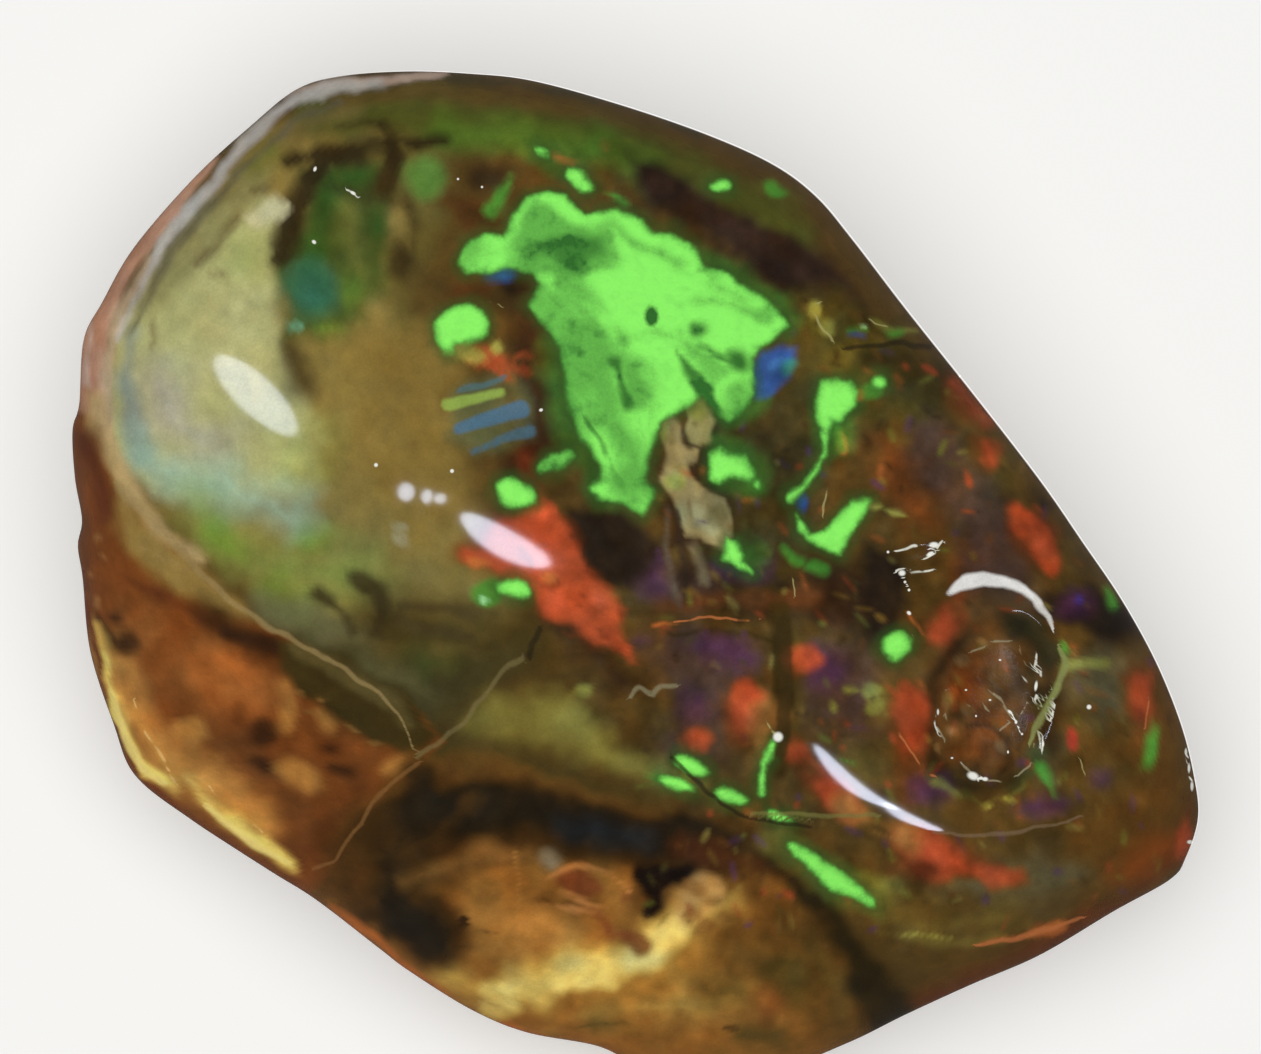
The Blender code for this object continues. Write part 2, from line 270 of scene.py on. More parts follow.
def stone_mesh():
    """The stone's fine surface, with the place of every corner in millimetres."""
    outline = smooth_curve(OUTLINE, FINE_STEP, True)
    rays, reach = outline_rays(outline)
    hub = np.array(HUB)

    def ring(share):
        return hub + rays * (reach * share)[:, None]

    top_plan = np.concatenate([[hub]] + [ring(s) for s in top_shares()])
    under_plan = np.concatenate([[hub]] + [ring(s) for s in under_shares()[:-1]])
    places = []
    for plan, height_of in ((top_plan, top_height), (under_plan, under_height)):
        rim, _ = nearest_on(outline, plan[:, 0], plan[:, 1], True)
        rim = np.where(rim < 1e-6, 0.0, rim)
        places.append(np.column_stack([plan, height_of(plan[:, 0], plan[:, 1], rim)]))
    girdle_first = 1 + (TOP_RINGS - 1) * RAYS
    under_first = len(top_plan)

    around = np.arange(RAYS)
    after = (around + 1) % RAYS
    faces = [(0, 1 + j, 1 + i) for i, j in zip(around, after)]
    for k in range(TOP_RINGS - 1):
        inner = 1 + k * RAYS
        outer = inner + RAYS
        faces += list(zip(inner + around, inner + after, outer + after, outer + around))
    starts = [under_first + 1 + k * RAYS for k in range(UNDER_RINGS - 1)] + [girdle_first]
    faces += [(under_first, starts[0] + i, starts[0] + j) for i, j in zip(around, after)]
    for inner, outer in zip(starts, starts[1:]):
        faces += list(zip(inner + around, outer + around, outer + after, inner + after))
    data = bpy.data.meshes.new("opal_fine")
    all_places = np.concatenate(places)
    data.from_pydata((all_places * MM).tolist(), [], [tuple(int(i) for i in f) for f in faces])
    data.update()
    data.shade_smooth()
    return data, all_places


class Wire:
    """A value in a material that takes part in sums as a number does."""

    def __init__(self, paint, socket):
        self.paint = paint
        self.socket = socket

    def __add__(self, other):
        return self.paint.maths("ADD", self, other)

    def __sub__(self, other):
        return self.paint.maths("SUBTRACT", self, other)

    def __rsub__(self, other):
        return self.paint.maths("SUBTRACT", other, self)

    def __mul__(self, other):
        return self.paint.maths("MULTIPLY", self, other)

    def __truediv__(self, other):
        return self.paint.maths("DIVIDE", self, other)

    __radd__ = __add__
    __rmul__ = __mul__


class Paint:
    """The nodes of one material."""

    def __init__(self, material):
        self.nodes = material.node_tree.nodes
        self.links = material.node_tree.links

    def put(self, socket, value):
        if isinstance(value, Wire):
            self.links.new(value.socket, socket)
        else:
            socket.default_value = value

    def add(self, kind, settings=(), values=(), output=0):
        """A node with its settings, the values of its sockets, and one output of it."""
        node = self.nodes.new(kind)
        for name, setting in dict(settings).items():
            setattr(node, name, setting)
        for name, value in dict(values).items():
            self.put(node.inputs[name], value)
        return Wire(self, node.outputs[output])

    def maths(self, operation, a, b=0.0, clamped=False):
        return self.add("ShaderNodeMath", {"operation": operation, "use_clamp": clamped}, {0: a, 1: b})

    def ramp(self, value, start, end, first=0.0, last=1.0):
        """A smooth step from first to last while value goes from start to end."""
        return self.add(
            "ShaderNodeMapRange", {"interpolation_type": "SMOOTHSTEP"},
            {"Value": value, "From Min": start, "From Max": end, "To Min": first, "To Max": last},
        )

    def mix(self, share, a, b, blend="MIX"):
        return self.add(
            "ShaderNodeMix", {"data_type": "RGBA", "blend_type": blend, "clamp_factor": True},
            {0: share, 6: a, 7: b}, output=2,
        )

    def vector(self, operation, a, b, output=0):
        return self.add("ShaderNodeVectorMath", {"operation": operation}, {0: a, 1: b}, output)

    def brighter(self, colour, factor):
        """A colour times a value."""
        three = self.add("ShaderNodeCombineXYZ", {}, {0: factor, 1: factor, 2: factor})
        return self.vector("MULTIPLY", colour, three)

    def field(self, name, output="Fac"):
        """One of the values that the mesh carries."""
        return self.add("ShaderNodeAttribute", {"attribute_name": name}, output=output)

    def noise(self, place, scale, detail=3.0, roughness=0.5, stretch=0.0):
        return self.add(
            "ShaderNodeTexNoise", {},
            {"Vector": place, "Scale": scale, "Detail": detail, "Roughness": roughness, "Distortion": stretch},
        )


def seen(colour):
    """The shader's colour for one as it looks in the photograph."""
    shares = [part / 255 for part in colour]
    linear = [s / 12.92 if s < 0.04045 else ((s + 0.055) / 1.055) ** 2.4 for s in shares]
    return (*linear, 1.0)


def patch(*points, grow=0):
    """An area inside a closed line of pixels, grown outwards by some pixels."""
    return ("patch", points, grow)


def stroke(radii, *points):
    """A round brush stroke along some pixels, from its first radius to its last."""
    return ("stroke", points, radii)


def spot(x, y, along, across, tilt=0):
    """An oval with its longer radius turned by tilt degrees, clockwise as seen."""
    return ("spot", (x, y), (along, across, tilt))


def tone(name, colour, softness, fray, *dabs, strength=1.0):
    """A colour laid on the stone: how soft its edge is and how far it frays, in pixels."""
    return (name, colour, softness, fray, dabs, strength)


BASE_COLOUR = (80, 60, 32)

# The domed face: khaki, milk and brown, with olive along its far rim

DOME_TONES = (
    tone("khaki", (134, 114, 64), 50, 12, patch(
        (262, 120), (330, 112), (420, 140), (452, 200), (430, 262), (440, 320), (452, 400), (470, 470),
        (474, 530), (500, 590), (520, 640), (470, 690), (400, 660), (300, 610), (230, 575), (150, 505),
        (105, 430), (105, 380), (140, 280), (190, 200))),
    tone("gold khaki", (126, 102, 55), 90, 12, spot(400, 390, 50, 54), spot(424, 470, 40, 54), strength=0.85),
    tone("olive khaki", (92, 84, 44), 40, 12, patch(
        (290, 118), (350, 116), (440, 150), (470, 200), (446, 300), (404, 330), (376, 300), (400, 200), (360, 160)),
         strength=0.85),
    tone("khaki light", (138, 118, 66), 50, 10, spot(344, 380, 26, 30), strength=0.6),
    tone("clouded khaki", (116, 106, 62), 80, 12, stroke((30, 40), (300, 500), (380, 560), (450, 600)),
         strength=0.8),
    tone("milk", (172, 170, 112), 26, 5, patch(
        (104, 440), (100, 400), (112, 335), (150, 280), (190, 240), (225, 205), (262, 190), (281, 215),
        (279, 270), (282, 352), (300, 395), (318, 440), (306, 480), (270, 500), (200, 500), (140, 480))),
    tone("pale milk", (186, 182, 126), 70, 10, spot(238, 318, 24, 46, 8), strength=0.7),
    tone("lime milk", (150, 160, 80), 50, 10, spot(300, 452, 20, 34, 20), spot(250, 258, 20, 22, -30),
         strength=0.5),
    tone("olive milk", (134, 128, 80), 24, 6, patch(
        (140, 290), (168, 242), (205, 200), (240, 170), (268, 172), (256, 204), (220, 246), (190, 274),
        (160, 304)), strength=0.8),
    tone("hedge", (104, 112, 54), 30, 8, spot(262, 158, 26, 12, -42), strength=0.85),
    tone("lilac milk", (162, 158, 144), 66, 12, spot(166, 402, 22, 44, -16), spot(190, 434, 36, 20, 20),
         strength=0.8),
    tone("blue milk", (126, 138, 132), 22, 6, stroke((6, 10), (134, 336), (126, 372), (130, 420), (142, 456)),
         strength=0.8),
    tone("turquoise milk", (146, 178, 156), 60, 14, stroke((8, 14), (144, 456), (178, 478), (226, 494)),
         stroke((12, 12), (232, 486), (268, 506), (292, 520)), strength=0.9),
    tone("leaf milk", (122, 142, 72), 76, 12, stroke((14, 22), (196, 512), (240, 545), (300, 570), (350, 580)),
         strength=0.8),
    tone("leaf", (100, 146, 54), 50, 14, stroke((4, 7), (206, 536), (246, 562)), spot(278, 588, 18, 10, 30),
         spot(312, 540, 14, 8, -20), strength=0.6),
    tone("grey moss", (102, 104, 68), 40, 10, stroke((14, 18), (262, 606), (310, 622), (360, 632)), strength=0.8),
    tone("moss", (60, 54, 30), 46, 10, patch(
        (300, 640), (340, 648), (400, 654), (460, 646), (512, 640), (526, 656), (494, 700), (452, 732),
        (420, 752), (396, 748), (366, 700), (330, 668))),
    tone("dome foot", (64, 53, 27), 50, 12, stroke((24, 30), (366, 616), (440, 636), (520, 644)), strength=0.95),
    tone("foot olive", (92, 78, 42), 24, 8, stroke((5, 7), (414, 612), (440, 615), (463, 624), (480, 636)), strength=0.7),
    tone("foot green", (62, 74, 36), 40, 10, spot(436, 664, 22, 16), strength=0.7),
    tone("moss light", (96, 92, 56), 36, 10, stroke((8, 10), (372, 668), (410, 690), (440, 700)), strength=0.6),
    tone("far olive", (76, 78, 34), 30, 8, stroke(
        (24, 28), (318, 112), (400, 112), (500, 122), (600, 142), (700, 182), (790, 232))),
    tone("far khaki", (112, 98, 58), 26, 8, stroke((8, 10), (280, 140), (320, 118), (352, 110)), strength=0.8),
    tone("far brown", (90, 68, 38), 20, 6, stroke((7, 6), (335, 100), (400, 93), (480, 96), (560, 108), (620, 122)),
         strength=0.7),
    tone("fern", (78, 106, 42), 36, 9, stroke((14, 18), (448, 136), (520, 134), (600, 150), (640, 166)),
         strength=0.8),
    tone("grass", (74, 124, 50), 30, 8, stroke((3, 6), (500, 142), (540, 160), (560, 168)), spot(596, 148, 14, 8),
         strength=0.45),
    tone("far rim", (52, 52, 34), 10, 3, stroke(
        (4, 4), (352, 80), (430, 76), (500, 82), (560, 92), (640, 110), (700, 132)), strength=0.6),
    tone("umber", (88, 66, 35), 50, 12, stroke((20, 26), (470, 190), (452, 240), (430, 290)),
         stroke((20, 34), (476, 300), (520, 400), (500, 470)), strength=0.9),
    tone("deep umber", (58, 38, 24), 30, 10, stroke((16, 26), (520, 306), (545, 360), (548, 420), (520, 468)),
         spot(488, 178, 16, 13), stroke((22, 14), (566, 620), (600, 656), (624, 684)),
         stroke((30, 24), (700, 590), (760, 600), (850, 596)), spot(700, 500, 40, 60)),
    tone("russet shade", (98, 42, 26), 26, 8, stroke((5, 8), (450, 200), (470, 212), (484, 224)),
         spot(468, 292, 18, 12), stroke((6, 8), (500, 380), (520, 430), (530, 470)), spot(556, 336, 9, 26),
         strength=0.75),
    tone("night brown", (46, 32, 24), 26, 8, patch(
        (624, 154), (690, 182), (760, 214), (815, 244), (858, 292), (898, 340), (868, 336), (840, 306),
        (800, 308), (768, 288), (716, 240), (662, 214), (634, 190))),
    tone("right olive", (84, 74, 34), 60, 14, patch(
        (800, 300), (900, 330), (960, 400), (1010, 480), (960, 520), (880, 430), (800, 420))),
    tone("bog", (58, 50, 26), 46, 12, stroke((40, 46), (730, 440), (776, 500), (756, 560)),
         spot(920, 385, 50, 34, 30), spot(800, 420, 30, 40), strength=0.85),
    tone("fox", (102, 56, 30), 40, 14, stroke((18, 24), (880, 440), (900, 480), (930, 520)),
         spot(970, 560, 22, 36, 20), stroke((18, 16), (870, 690), (900, 730), (910, 780)), strength=0.85),
    tone("dusk", (74, 54, 46), 50, 14, stroke((26, 34), (930, 440), (980, 520), (1010, 570)),
         spot(690, 600, 34, 30), stroke((40, 26), (680, 650), (720, 690), (700, 740)), spot(850, 700, 40, 50),
         strength=0.85),
    tone("plum", (76, 44, 76), 34, 12, spot(722, 650, 32, 20, 20), spot(826, 672, 16, 16),
         spot(742, 572, 28, 10), spot(655, 574, 16, 22), spot(640, 640, 14, 10), spot(700, 700, 14, 20),
         strength=0.75),
    tone("far night", (50, 38, 20), 26, 8, stroke((12, 10), (862, 358), (900, 358), (944, 372)), strength=0.8),
    tone("pitch", (36, 27, 19), 24, 8, patch(
        (870, 548), (900, 556), (912, 600), (896, 650), (870, 648), (858, 604)),
         patch((568, 508), (612, 512), (652, 528), (668, 548), (652, 576), (612, 588), (580, 572), (562, 540)),
         spot(515, 292, 15, 9), strength=0.95),
    # Painted sheen: the olive band where the domed face rounds down towards the front facet is painted lighter, as if
    # lit.
    tone("painted olive sheen band", (118, 108, 55), 34, 10, patch(
        (490, 692), (520, 688), (556, 692), (578, 712), (604, 738), (640, 762), (676, 774), (692, 792), (660, 794),
        (620, 778), (590, 764), (550, 746), (510, 740), (476, 734), (466, 724)), strength=0.95),
    tone("painted olive sheen streak", (134, 128, 66), 30, 8, stroke((7, 7), (530, 700), (570, 722), (620, 756)),
         stroke((7, 5), (620, 756), (660, 778), (700, 790)), strength=0.75),
    tone("olive fade", (66, 55, 28), 34, 10, stroke((10, 12), (440, 750), (500, 762), (560, 776), (640, 802)),
         strength=0.9),
    tone("olive edge", (92, 70, 38), 20, 6, spot(508, 766, 18, 7, 8), spot(480, 752, 10, 5), strength=0.6),
    tone("cross bar", (96, 56, 34), 18, 5, stroke((9, 12), (660, 604), (720, 602), (770, 604)),
         spot(800, 600, 16, 12, 10), strength=0.75),
    tone("upright bar", (54, 41, 19), 10, 3, stroke((12, 11), (782, 612), (784, 680), (782, 730), (778, 766)),
         stroke((3, 3), (664, 632), (720, 632), (770, 640)), strength=0.95),
    tone("bar edge", (92, 74, 38), 8, 3, stroke((2, 2), (797, 628), (799, 690), (796, 748)), strength=0.5),
    tone("olive centre", (108, 94, 48), 50, 14, spot(856, 762, 24, 22), spot(882, 700, 12, 20), strength=0.7),
    tone("right brown", (92, 62, 30), 60, 14, stroke((40, 50), (1130, 690), (1150, 780), (1100, 850)),
         strength=0.9),
    tone("lichen", (90, 84, 56), 40, 12, spot(1100, 690, 26, 44, 20), spot(1020, 880, 80, 20, -4), strength=0.7),
    tone("amber corner", (122, 62, 26), 40, 10, spot(1150, 860, 40, 22, -30), strength=0.8),
    tone("crater side", (92, 64, 40), 24, 8, spot(990, 690, 66, 92, 14), strength=0.8),

    tone("crater ring", (50, 36, 21), 18, 5, stroke((5, 7), (962, 636), (944, 664), (932, 700)),
         stroke((7, 6), (932, 700), (930, 742), (944, 772), (966, 790)),
         stroke((6, 7), (966, 790), (996, 790), (1020, 774)), stroke((7, 9), (1020, 774), (1040, 740), (1052, 700)),
         stroke((9, 9), (1052, 700), (1052, 660), (1030, 630)), strength=0.85),
    tone("crater floor", (90, 60, 32), 24, 12, spot(980, 716, 36, 58, 10), spot(996, 666, 26, 20, 10), strength=0.9),
    tone("crater rust", (124, 68, 36), 26, 10, spot(978, 752, 20, 22), spot(964, 684, 14, 18, 20),
         stroke((4, 5), (966, 668), (996, 656)), strength=0.75),
    tone("crater moss", (46, 42, 24), 20, 8, stroke((10, 14), (1012, 622), (1036, 634), (1044, 660)),
         stroke((10, 6), (1030, 664), (1036, 690), (1030, 716)), strength=0.9),
    tone("crater grey", (106, 92, 66), 9, 8, spot(1010, 712, 9, 6, 20), spot(998, 690, 7, 3, 30), strength=0.45),
    tone("crater lobe", (54, 38, 22), 6, 3, stroke((2, 2), (972, 726), (990, 724), (1006, 738)),
         stroke((2, 2), (1006, 738), (1008, 762), (996, 784)), stroke((1, 2), (1018, 700), (1022, 724), (1016, 744)),
         strength=0.75),
    tone("crater specks", (128, 98, 64), 4, 5, spot(950, 700, 2, 6), spot(956, 730, 3, 2), spot(970, 710, 3, 2, 40),
         spot(984, 740, 4, 1, 30), spot(1000, 748, 2, 4), spot(962, 660, 3, 2), spot(990, 680, 4, 2, -20),
         spot(1020, 690, 2, 4), spot(940, 746, 2, 4), spot(980, 640, 5, 2, 20), spot(1012, 676, 3, 1, 40), strength=0.6),
    tone("near green", (62, 74, 38), 16, 6, stroke((6, 6), (1010, 790), (1028, 770), (1034, 752)), strength=0.6),
    tone("black right", (30, 23, 18), 24, 8, stroke((14, 20), (1052, 600), (1086, 606), (1120, 626)),
         spot(1040, 506, 10, 14), strength=0.95),
    tone("violet", (84, 44, 76), 28, 10, spot(1044, 804, 30, 11, -6), spot(934, 790, 18, 9), spot(1074, 601, 9, 6),
         spot(1100, 780, 12, 12), strength=0.65),
    tone("violet point", (60, 48, 130), 6, 2, spot(1075, 601, 3, 3), strength=0.6),
    tone("near rim", (92, 44, 20), 24, 6, stroke(
        (6, 12), (1192, 790), (1186, 852), (1110, 912), (1010, 962), (900, 1016), (850, 1046)), strength=0.8),
)

# The pocket of green in the khaki, with its dark border, and the dark branching marks

POCKET_TONES = (
    tone("pocket", (72, 84, 38), 24, 7, patch(
        (300, 166), (340, 154), (376, 166), (388, 190), (392, 240), (390, 290), (368, 326), (320, 342),
        (280, 344), (278, 300), (276, 268), (290, 232), (302, 196))),
    tone("pocket olive", (108, 108, 52), 36, 12, stroke((10, 16), (348, 216), (358, 262), (364, 300)), strength=0.9),
    tone("pocket green", (52, 88, 38), 26, 10, stroke((8, 10), (330, 176), (318, 216), (314, 256)),
         spot(378, 222, 9, 14), spot(352, 176, 16, 8), strength=0.8),
    tone("pocket leaf", (96, 126, 54), 24, 8, spot(352, 292, 18, 20), spot(330, 330, 20, 9), strength=0.75),
    tone("pocket dark", (50, 52, 27), 18, 8, spot(338, 190, 20, 7, 24), spot(362, 196, 10, 6), strength=0.6),
    tone("teal", (52, 102, 70), 32, 7, spot(310, 296, 30, 28), strength=0.9),
    tone("teal light", (64, 118, 92), 20, 6, spot(306, 300, 12, 12), strength=0.6),
    tone("pale teal", (98, 148, 112), 6, 2, spot(294, 327, 10, 6), strength=0.8),
    tone("pocket border", (44, 34, 19), 14, 6, stroke((6, 12), (286, 162), (300, 156), (314, 154)),
         stroke((13, 12), (314, 154), (334, 153), (356, 151)), stroke((8, 9), (356, 150), (374, 146), (392, 142)),
         stroke((14, 12), (316, 166), (306, 186), (296, 208)),
         stroke((12, 10), (296, 208), (288, 232), (280, 250)), spot(276, 256, 10, 8, -40),
         stroke((2, 8), (338, 126), (362, 121), (382, 128)), stroke((9, 5), (382, 128), (398, 138), (416, 142)),
         stroke((4, 1), (416, 142), (446, 142)), stroke((9, 10), (390, 134), (394, 158), (386, 178)),
         strength=0.95),
    tone("border shade", (62, 48, 26), 26, 9, spot(300, 370, 10, 14), stroke((7, 9), (382, 180), (376, 186), (392, 204)),
         stroke((10, 14), (288, 346), (296, 366), (304, 384)), stroke((5, 8), (404, 256), (440, 284), (486, 302)),
         stroke((8, 6), (486, 302), (520, 304)), stroke((3, 4), (450, 197), (470, 213), (496, 226)), strength=0.8),
    tone("blot", (50, 38, 21), 20, 8, spot(402, 256, 20, 24, 10), stroke((7, 12), (406, 206), (414, 228), (410, 248)),
         spot(488, 180, 13, 11), strength=0.85),
    tone("round green", (84, 128, 60), 18, 6, spot(425, 179, 18, 17), strength=0.85),
    tone("round light", (108, 146, 74), 12, 4, spot(428, 172, 9, 5), strength=0.5),
    tone("brown line", (104, 90, 56), 9, 3, stroke((3, 4), (240, 216), (229, 233), (212, 251), (199, 264)),
         spot(262, 190, 12, 5, -14), strength=0.7),
    tone("cream", (196, 190, 146), 9, 7, patch(
        (246, 216), (262, 205), (278, 196), (289, 205), (284, 218), (264, 226), (252, 226)), strength=0.85),
    tone("curl", (130, 116, 74), 8, 3, stroke((2, 3), (151, 322), (158, 338), (150, 350)),
         stroke((1, 1), (214, 276), (226, 273)), strength=0.75),
    tone("branching", (56, 46, 26), 12, 5, spot(366, 584, 17, 11, 24), stroke((10, 8), (374, 592), (380, 612), (374, 632)),
         stroke((4, 5), (318, 592), (342, 612), (352, 630)), strength=0.9),
    tone("branching fade", (70, 58, 34), 12, 5, stroke((5, 4), (398, 622), (430, 632), (470, 640)),
         stroke((4, 3), (404, 610), (440, 608), (470, 616)), strength=0.8),
    # Painted highlight: a faint pale blob beside the lamp-lit dots on the domed face.
    tone("faint painted highlight blob", (150, 148, 116), 8, 3, spot(403, 528, 5, 3), spot(402, 540, 7, 5), strength=0.6),
)

# The far left rim: a painted reflection of the pale surroundings, pink-brown where it mixes with the stone's brown,
# with a lilac band and a dark line inside it

RIM_TONES = (
    # Painted reflection: the pale pink, cream, rose and lilac tones along this rim stand in for the polish reflecting
    # pale surroundings, mixed with the stone's brown.
    tone("pink-brown rim with painted reflection", (184, 140, 114), 7, 3, patch(
        (60, 430), (62, 300), (120, 200), (200, 120), (218, 160), (182, 206), (150, 246), (126, 286),
        (108, 334), (100, 390), (106, 440))),
    tone("rim pink", (160, 106, 82), 12, 4, stroke((8, 7), (80, 410), (86, 360), (100, 312), (118, 272), (150, 214)),
         strength=0.5),
    tone("rim cream", (184, 160, 130), 10, 3, stroke((5, 7), (150, 258), (122, 308), (106, 360), (101, 420)),
         strength=0.85),
    tone("rim rose", (190, 166, 150), 6, 2, stroke((3, 3), (84, 380), (90, 320), (118, 256), (160, 196), (224, 128)),
         stroke((3, 3), (224, 128), (262, 104), (300, 88), (372, 78), (440, 76)), strength=0.7),
    tone("lilac band", (182, 178, 172), 9, 3, stroke((3, 5), (118, 340), (142, 283), (164, 243), (190, 209)),
         stroke((6, 8), (190, 209), (220, 173), (246, 143), (272, 115)),
         stroke((8, 4), (272, 115), (300, 97), (331, 88), (375, 82)), strength=0.85),
    tone("band line", (92, 88, 66), 9, 3, stroke((3, 4), (130, 336), (154, 284), (180, 240)),
         stroke((4, 3), (180, 240), (218, 196), (246, 166), (272, 142), (300, 118), (340, 102)), strength=0.8),
)

# The left facet: rust and amber, with a painted glow of light shining through the amber along its rim

LEFT_TONES = (
    tone("rust", (118, 66, 34), 6, 3, patch(
        (60, 400), (90, 418), (106, 462), (126, 496), (168, 536), (208, 578), (250, 618), (330, 658),
        (384, 688), (424, 714), (444, 740), (416, 764), (380, 800), (346, 850), (316, 890), (200, 900), (60, 760))),
    tone("facet tan", (142, 116, 68), 20, 6, patch(
        (112, 474), (150, 520), (196, 562), (246, 610), (258, 622), (226, 616), (176, 592), (140, 566),
        (118, 530))),
    tone("ridge tan", (184, 158, 110), 13, 4, stroke((7, 8), (94, 400), (98, 430), (112, 466), (134, 500)),
         stroke((8, 5), (134, 500), (170, 536), (200, 562)), strength=0.85),
    tone("tan specks", (152, 124, 76), 5, 4, stroke((3, 2), (140, 540), (160, 556), (186, 570)),
         stroke((2, 2), (172, 560), (210, 590)), strength=0.6),
    tone("maroon", (84, 42, 28), 20, 6, stroke((6, 10), (84, 436), (94, 476), (106, 508)),
         stroke((4, 5), (126, 576), (170, 602), (214, 622)), strength=0.85),
    tone("facet edge", (104, 60, 38), 12, 4, stroke((5, 6), (82, 470), (84, 540), (92, 600)), strength=0.8),
    tone("edge specks", (150, 104, 68), 4, 3, spot(98, 540, 3, 5), spot(104, 556, 4, 3), spot(94, 572, 3, 4),
         spot(100, 600, 3, 5), strength=0.7),
    tone("ember", (166, 98, 54), 46, 10, spot(206, 672, 60, 28, 25), spot(146, 636, 24, 14), strength=0.85),
    # Painted glow: a soft yellow-orange band of light shining through the amber near the rim.
    tone("painted glow through the rim", (214, 152, 88), 50, 8, stroke((8, 16), (108, 650), (130, 710), (160, 756)),
         stroke((16, 12), (160, 756), (204, 782), (256, 822)), strength=0.85),
    tone("ridge dark", (66, 38, 20), 26, 8, stroke((8, 16), (196, 606), (236, 632), (276, 650)), strength=0.8),
    tone("fudge", (92, 53, 30), 34, 9, stroke((12, 16), (232, 722), (258, 752), (300, 772)),
         spot(318, 836, 40, 18, -30), stroke((8, 10), (330, 740), (362, 792)), spot(300, 806, 24, 14, 30),
         strength=0.8),
    tone("arc shade", (104, 60, 34), 10, 4, stroke((3, 4), (176, 716), (212, 742), (250, 772), (276, 778)),
         strength=0.7),
    tone("soot", (46, 28, 19), 14, 6, stroke((5, 9), (224, 634), (246, 640), (266, 644)), spot(128, 644, 13, 10),
         stroke((2, 4), (104, 618), (112, 642)), spot(119, 618, 4, 3), spot(262, 732, 13, 12),
         spot(264, 764, 12, 5, 30), spot(338, 768, 14, 6, 20), spot(330, 746, 8, 5), strength=0.85),
    tone("caramel", (172, 120, 68), 16, 7, spot(190, 732, 14, 13, 30), spot(302, 774, 24, 14, 30),
         spot(322, 722, 13, 8, 40), stroke((3, 6), (286, 686), (288, 702), (286, 722)), spot(120, 667, 10, 4),
         spot(396, 768, 12, 5, -20), spot(220, 786, 14, 6, 30), strength=0.8),
    tone("facet moss", (60, 48, 24), 16, 6, patch(
        (280, 640), (338, 658), (374, 676), (414, 702), (440, 734), (416, 756), (372, 744), (336, 722),
        (304, 700), (284, 670))),
    tone("ridge band", (100, 88, 52), 12, 5, stroke((3, 7), (296, 644), (340, 668), (372, 690)),
         stroke((7, 3), (372, 690), (396, 704), (410, 724)), strength=0.55),
    tone("moss specks", (128, 92, 54), 4, 4, spot(298, 692, 5, 3, 30), spot(318, 702, 4, 3), spot(352, 730, 8, 2, 30),
         spot(372, 744, 5, 2, 20), spot(306, 716, 4, 4), strength=0.7),
    # Painted glow: the bright yellow lines from here on are light shining through the amber along the rim.
    tone("fold", (226, 184, 106), 14, 4, stroke((4, 7), (98, 628), (106, 674), (120, 712), (130, 750)),
         stroke((6, 6), (130, 750), (146, 774), (170, 788)), stroke((4, 8), (188, 778), (208, 800), (234, 826)),
         stroke((8, 4), (234, 826), (262, 846), (292, 866)), strength=0.9),
    tone("brightest painted rim glow", (240, 216, 122), 7, 4, stroke((1, 4), (104, 654), (112, 690), (124, 732)),
         stroke((4, 3), (124, 732), (138, 762), (164, 784)), stroke((1, 4), (198, 792), (214, 812), (240, 832)),
         stroke((4, 2), (240, 832), (262, 846), (288, 862))),
    tone("inner line of painted rim glow", (196, 140, 76), 5, 2, stroke((2, 2), (134, 706), (148, 738), (170, 776)),
         stroke((2, 2), (192, 776), (216, 796), (256, 826)), strength=0.8),
    tone("facet rim", (112, 56, 30), 6, 2, stroke((2, 3), (86, 600), (102, 680), (118, 742), (136, 776)),
         stroke((3, 3), (136, 776), (180, 814), (240, 856), (300, 890), (330, 910))),
)
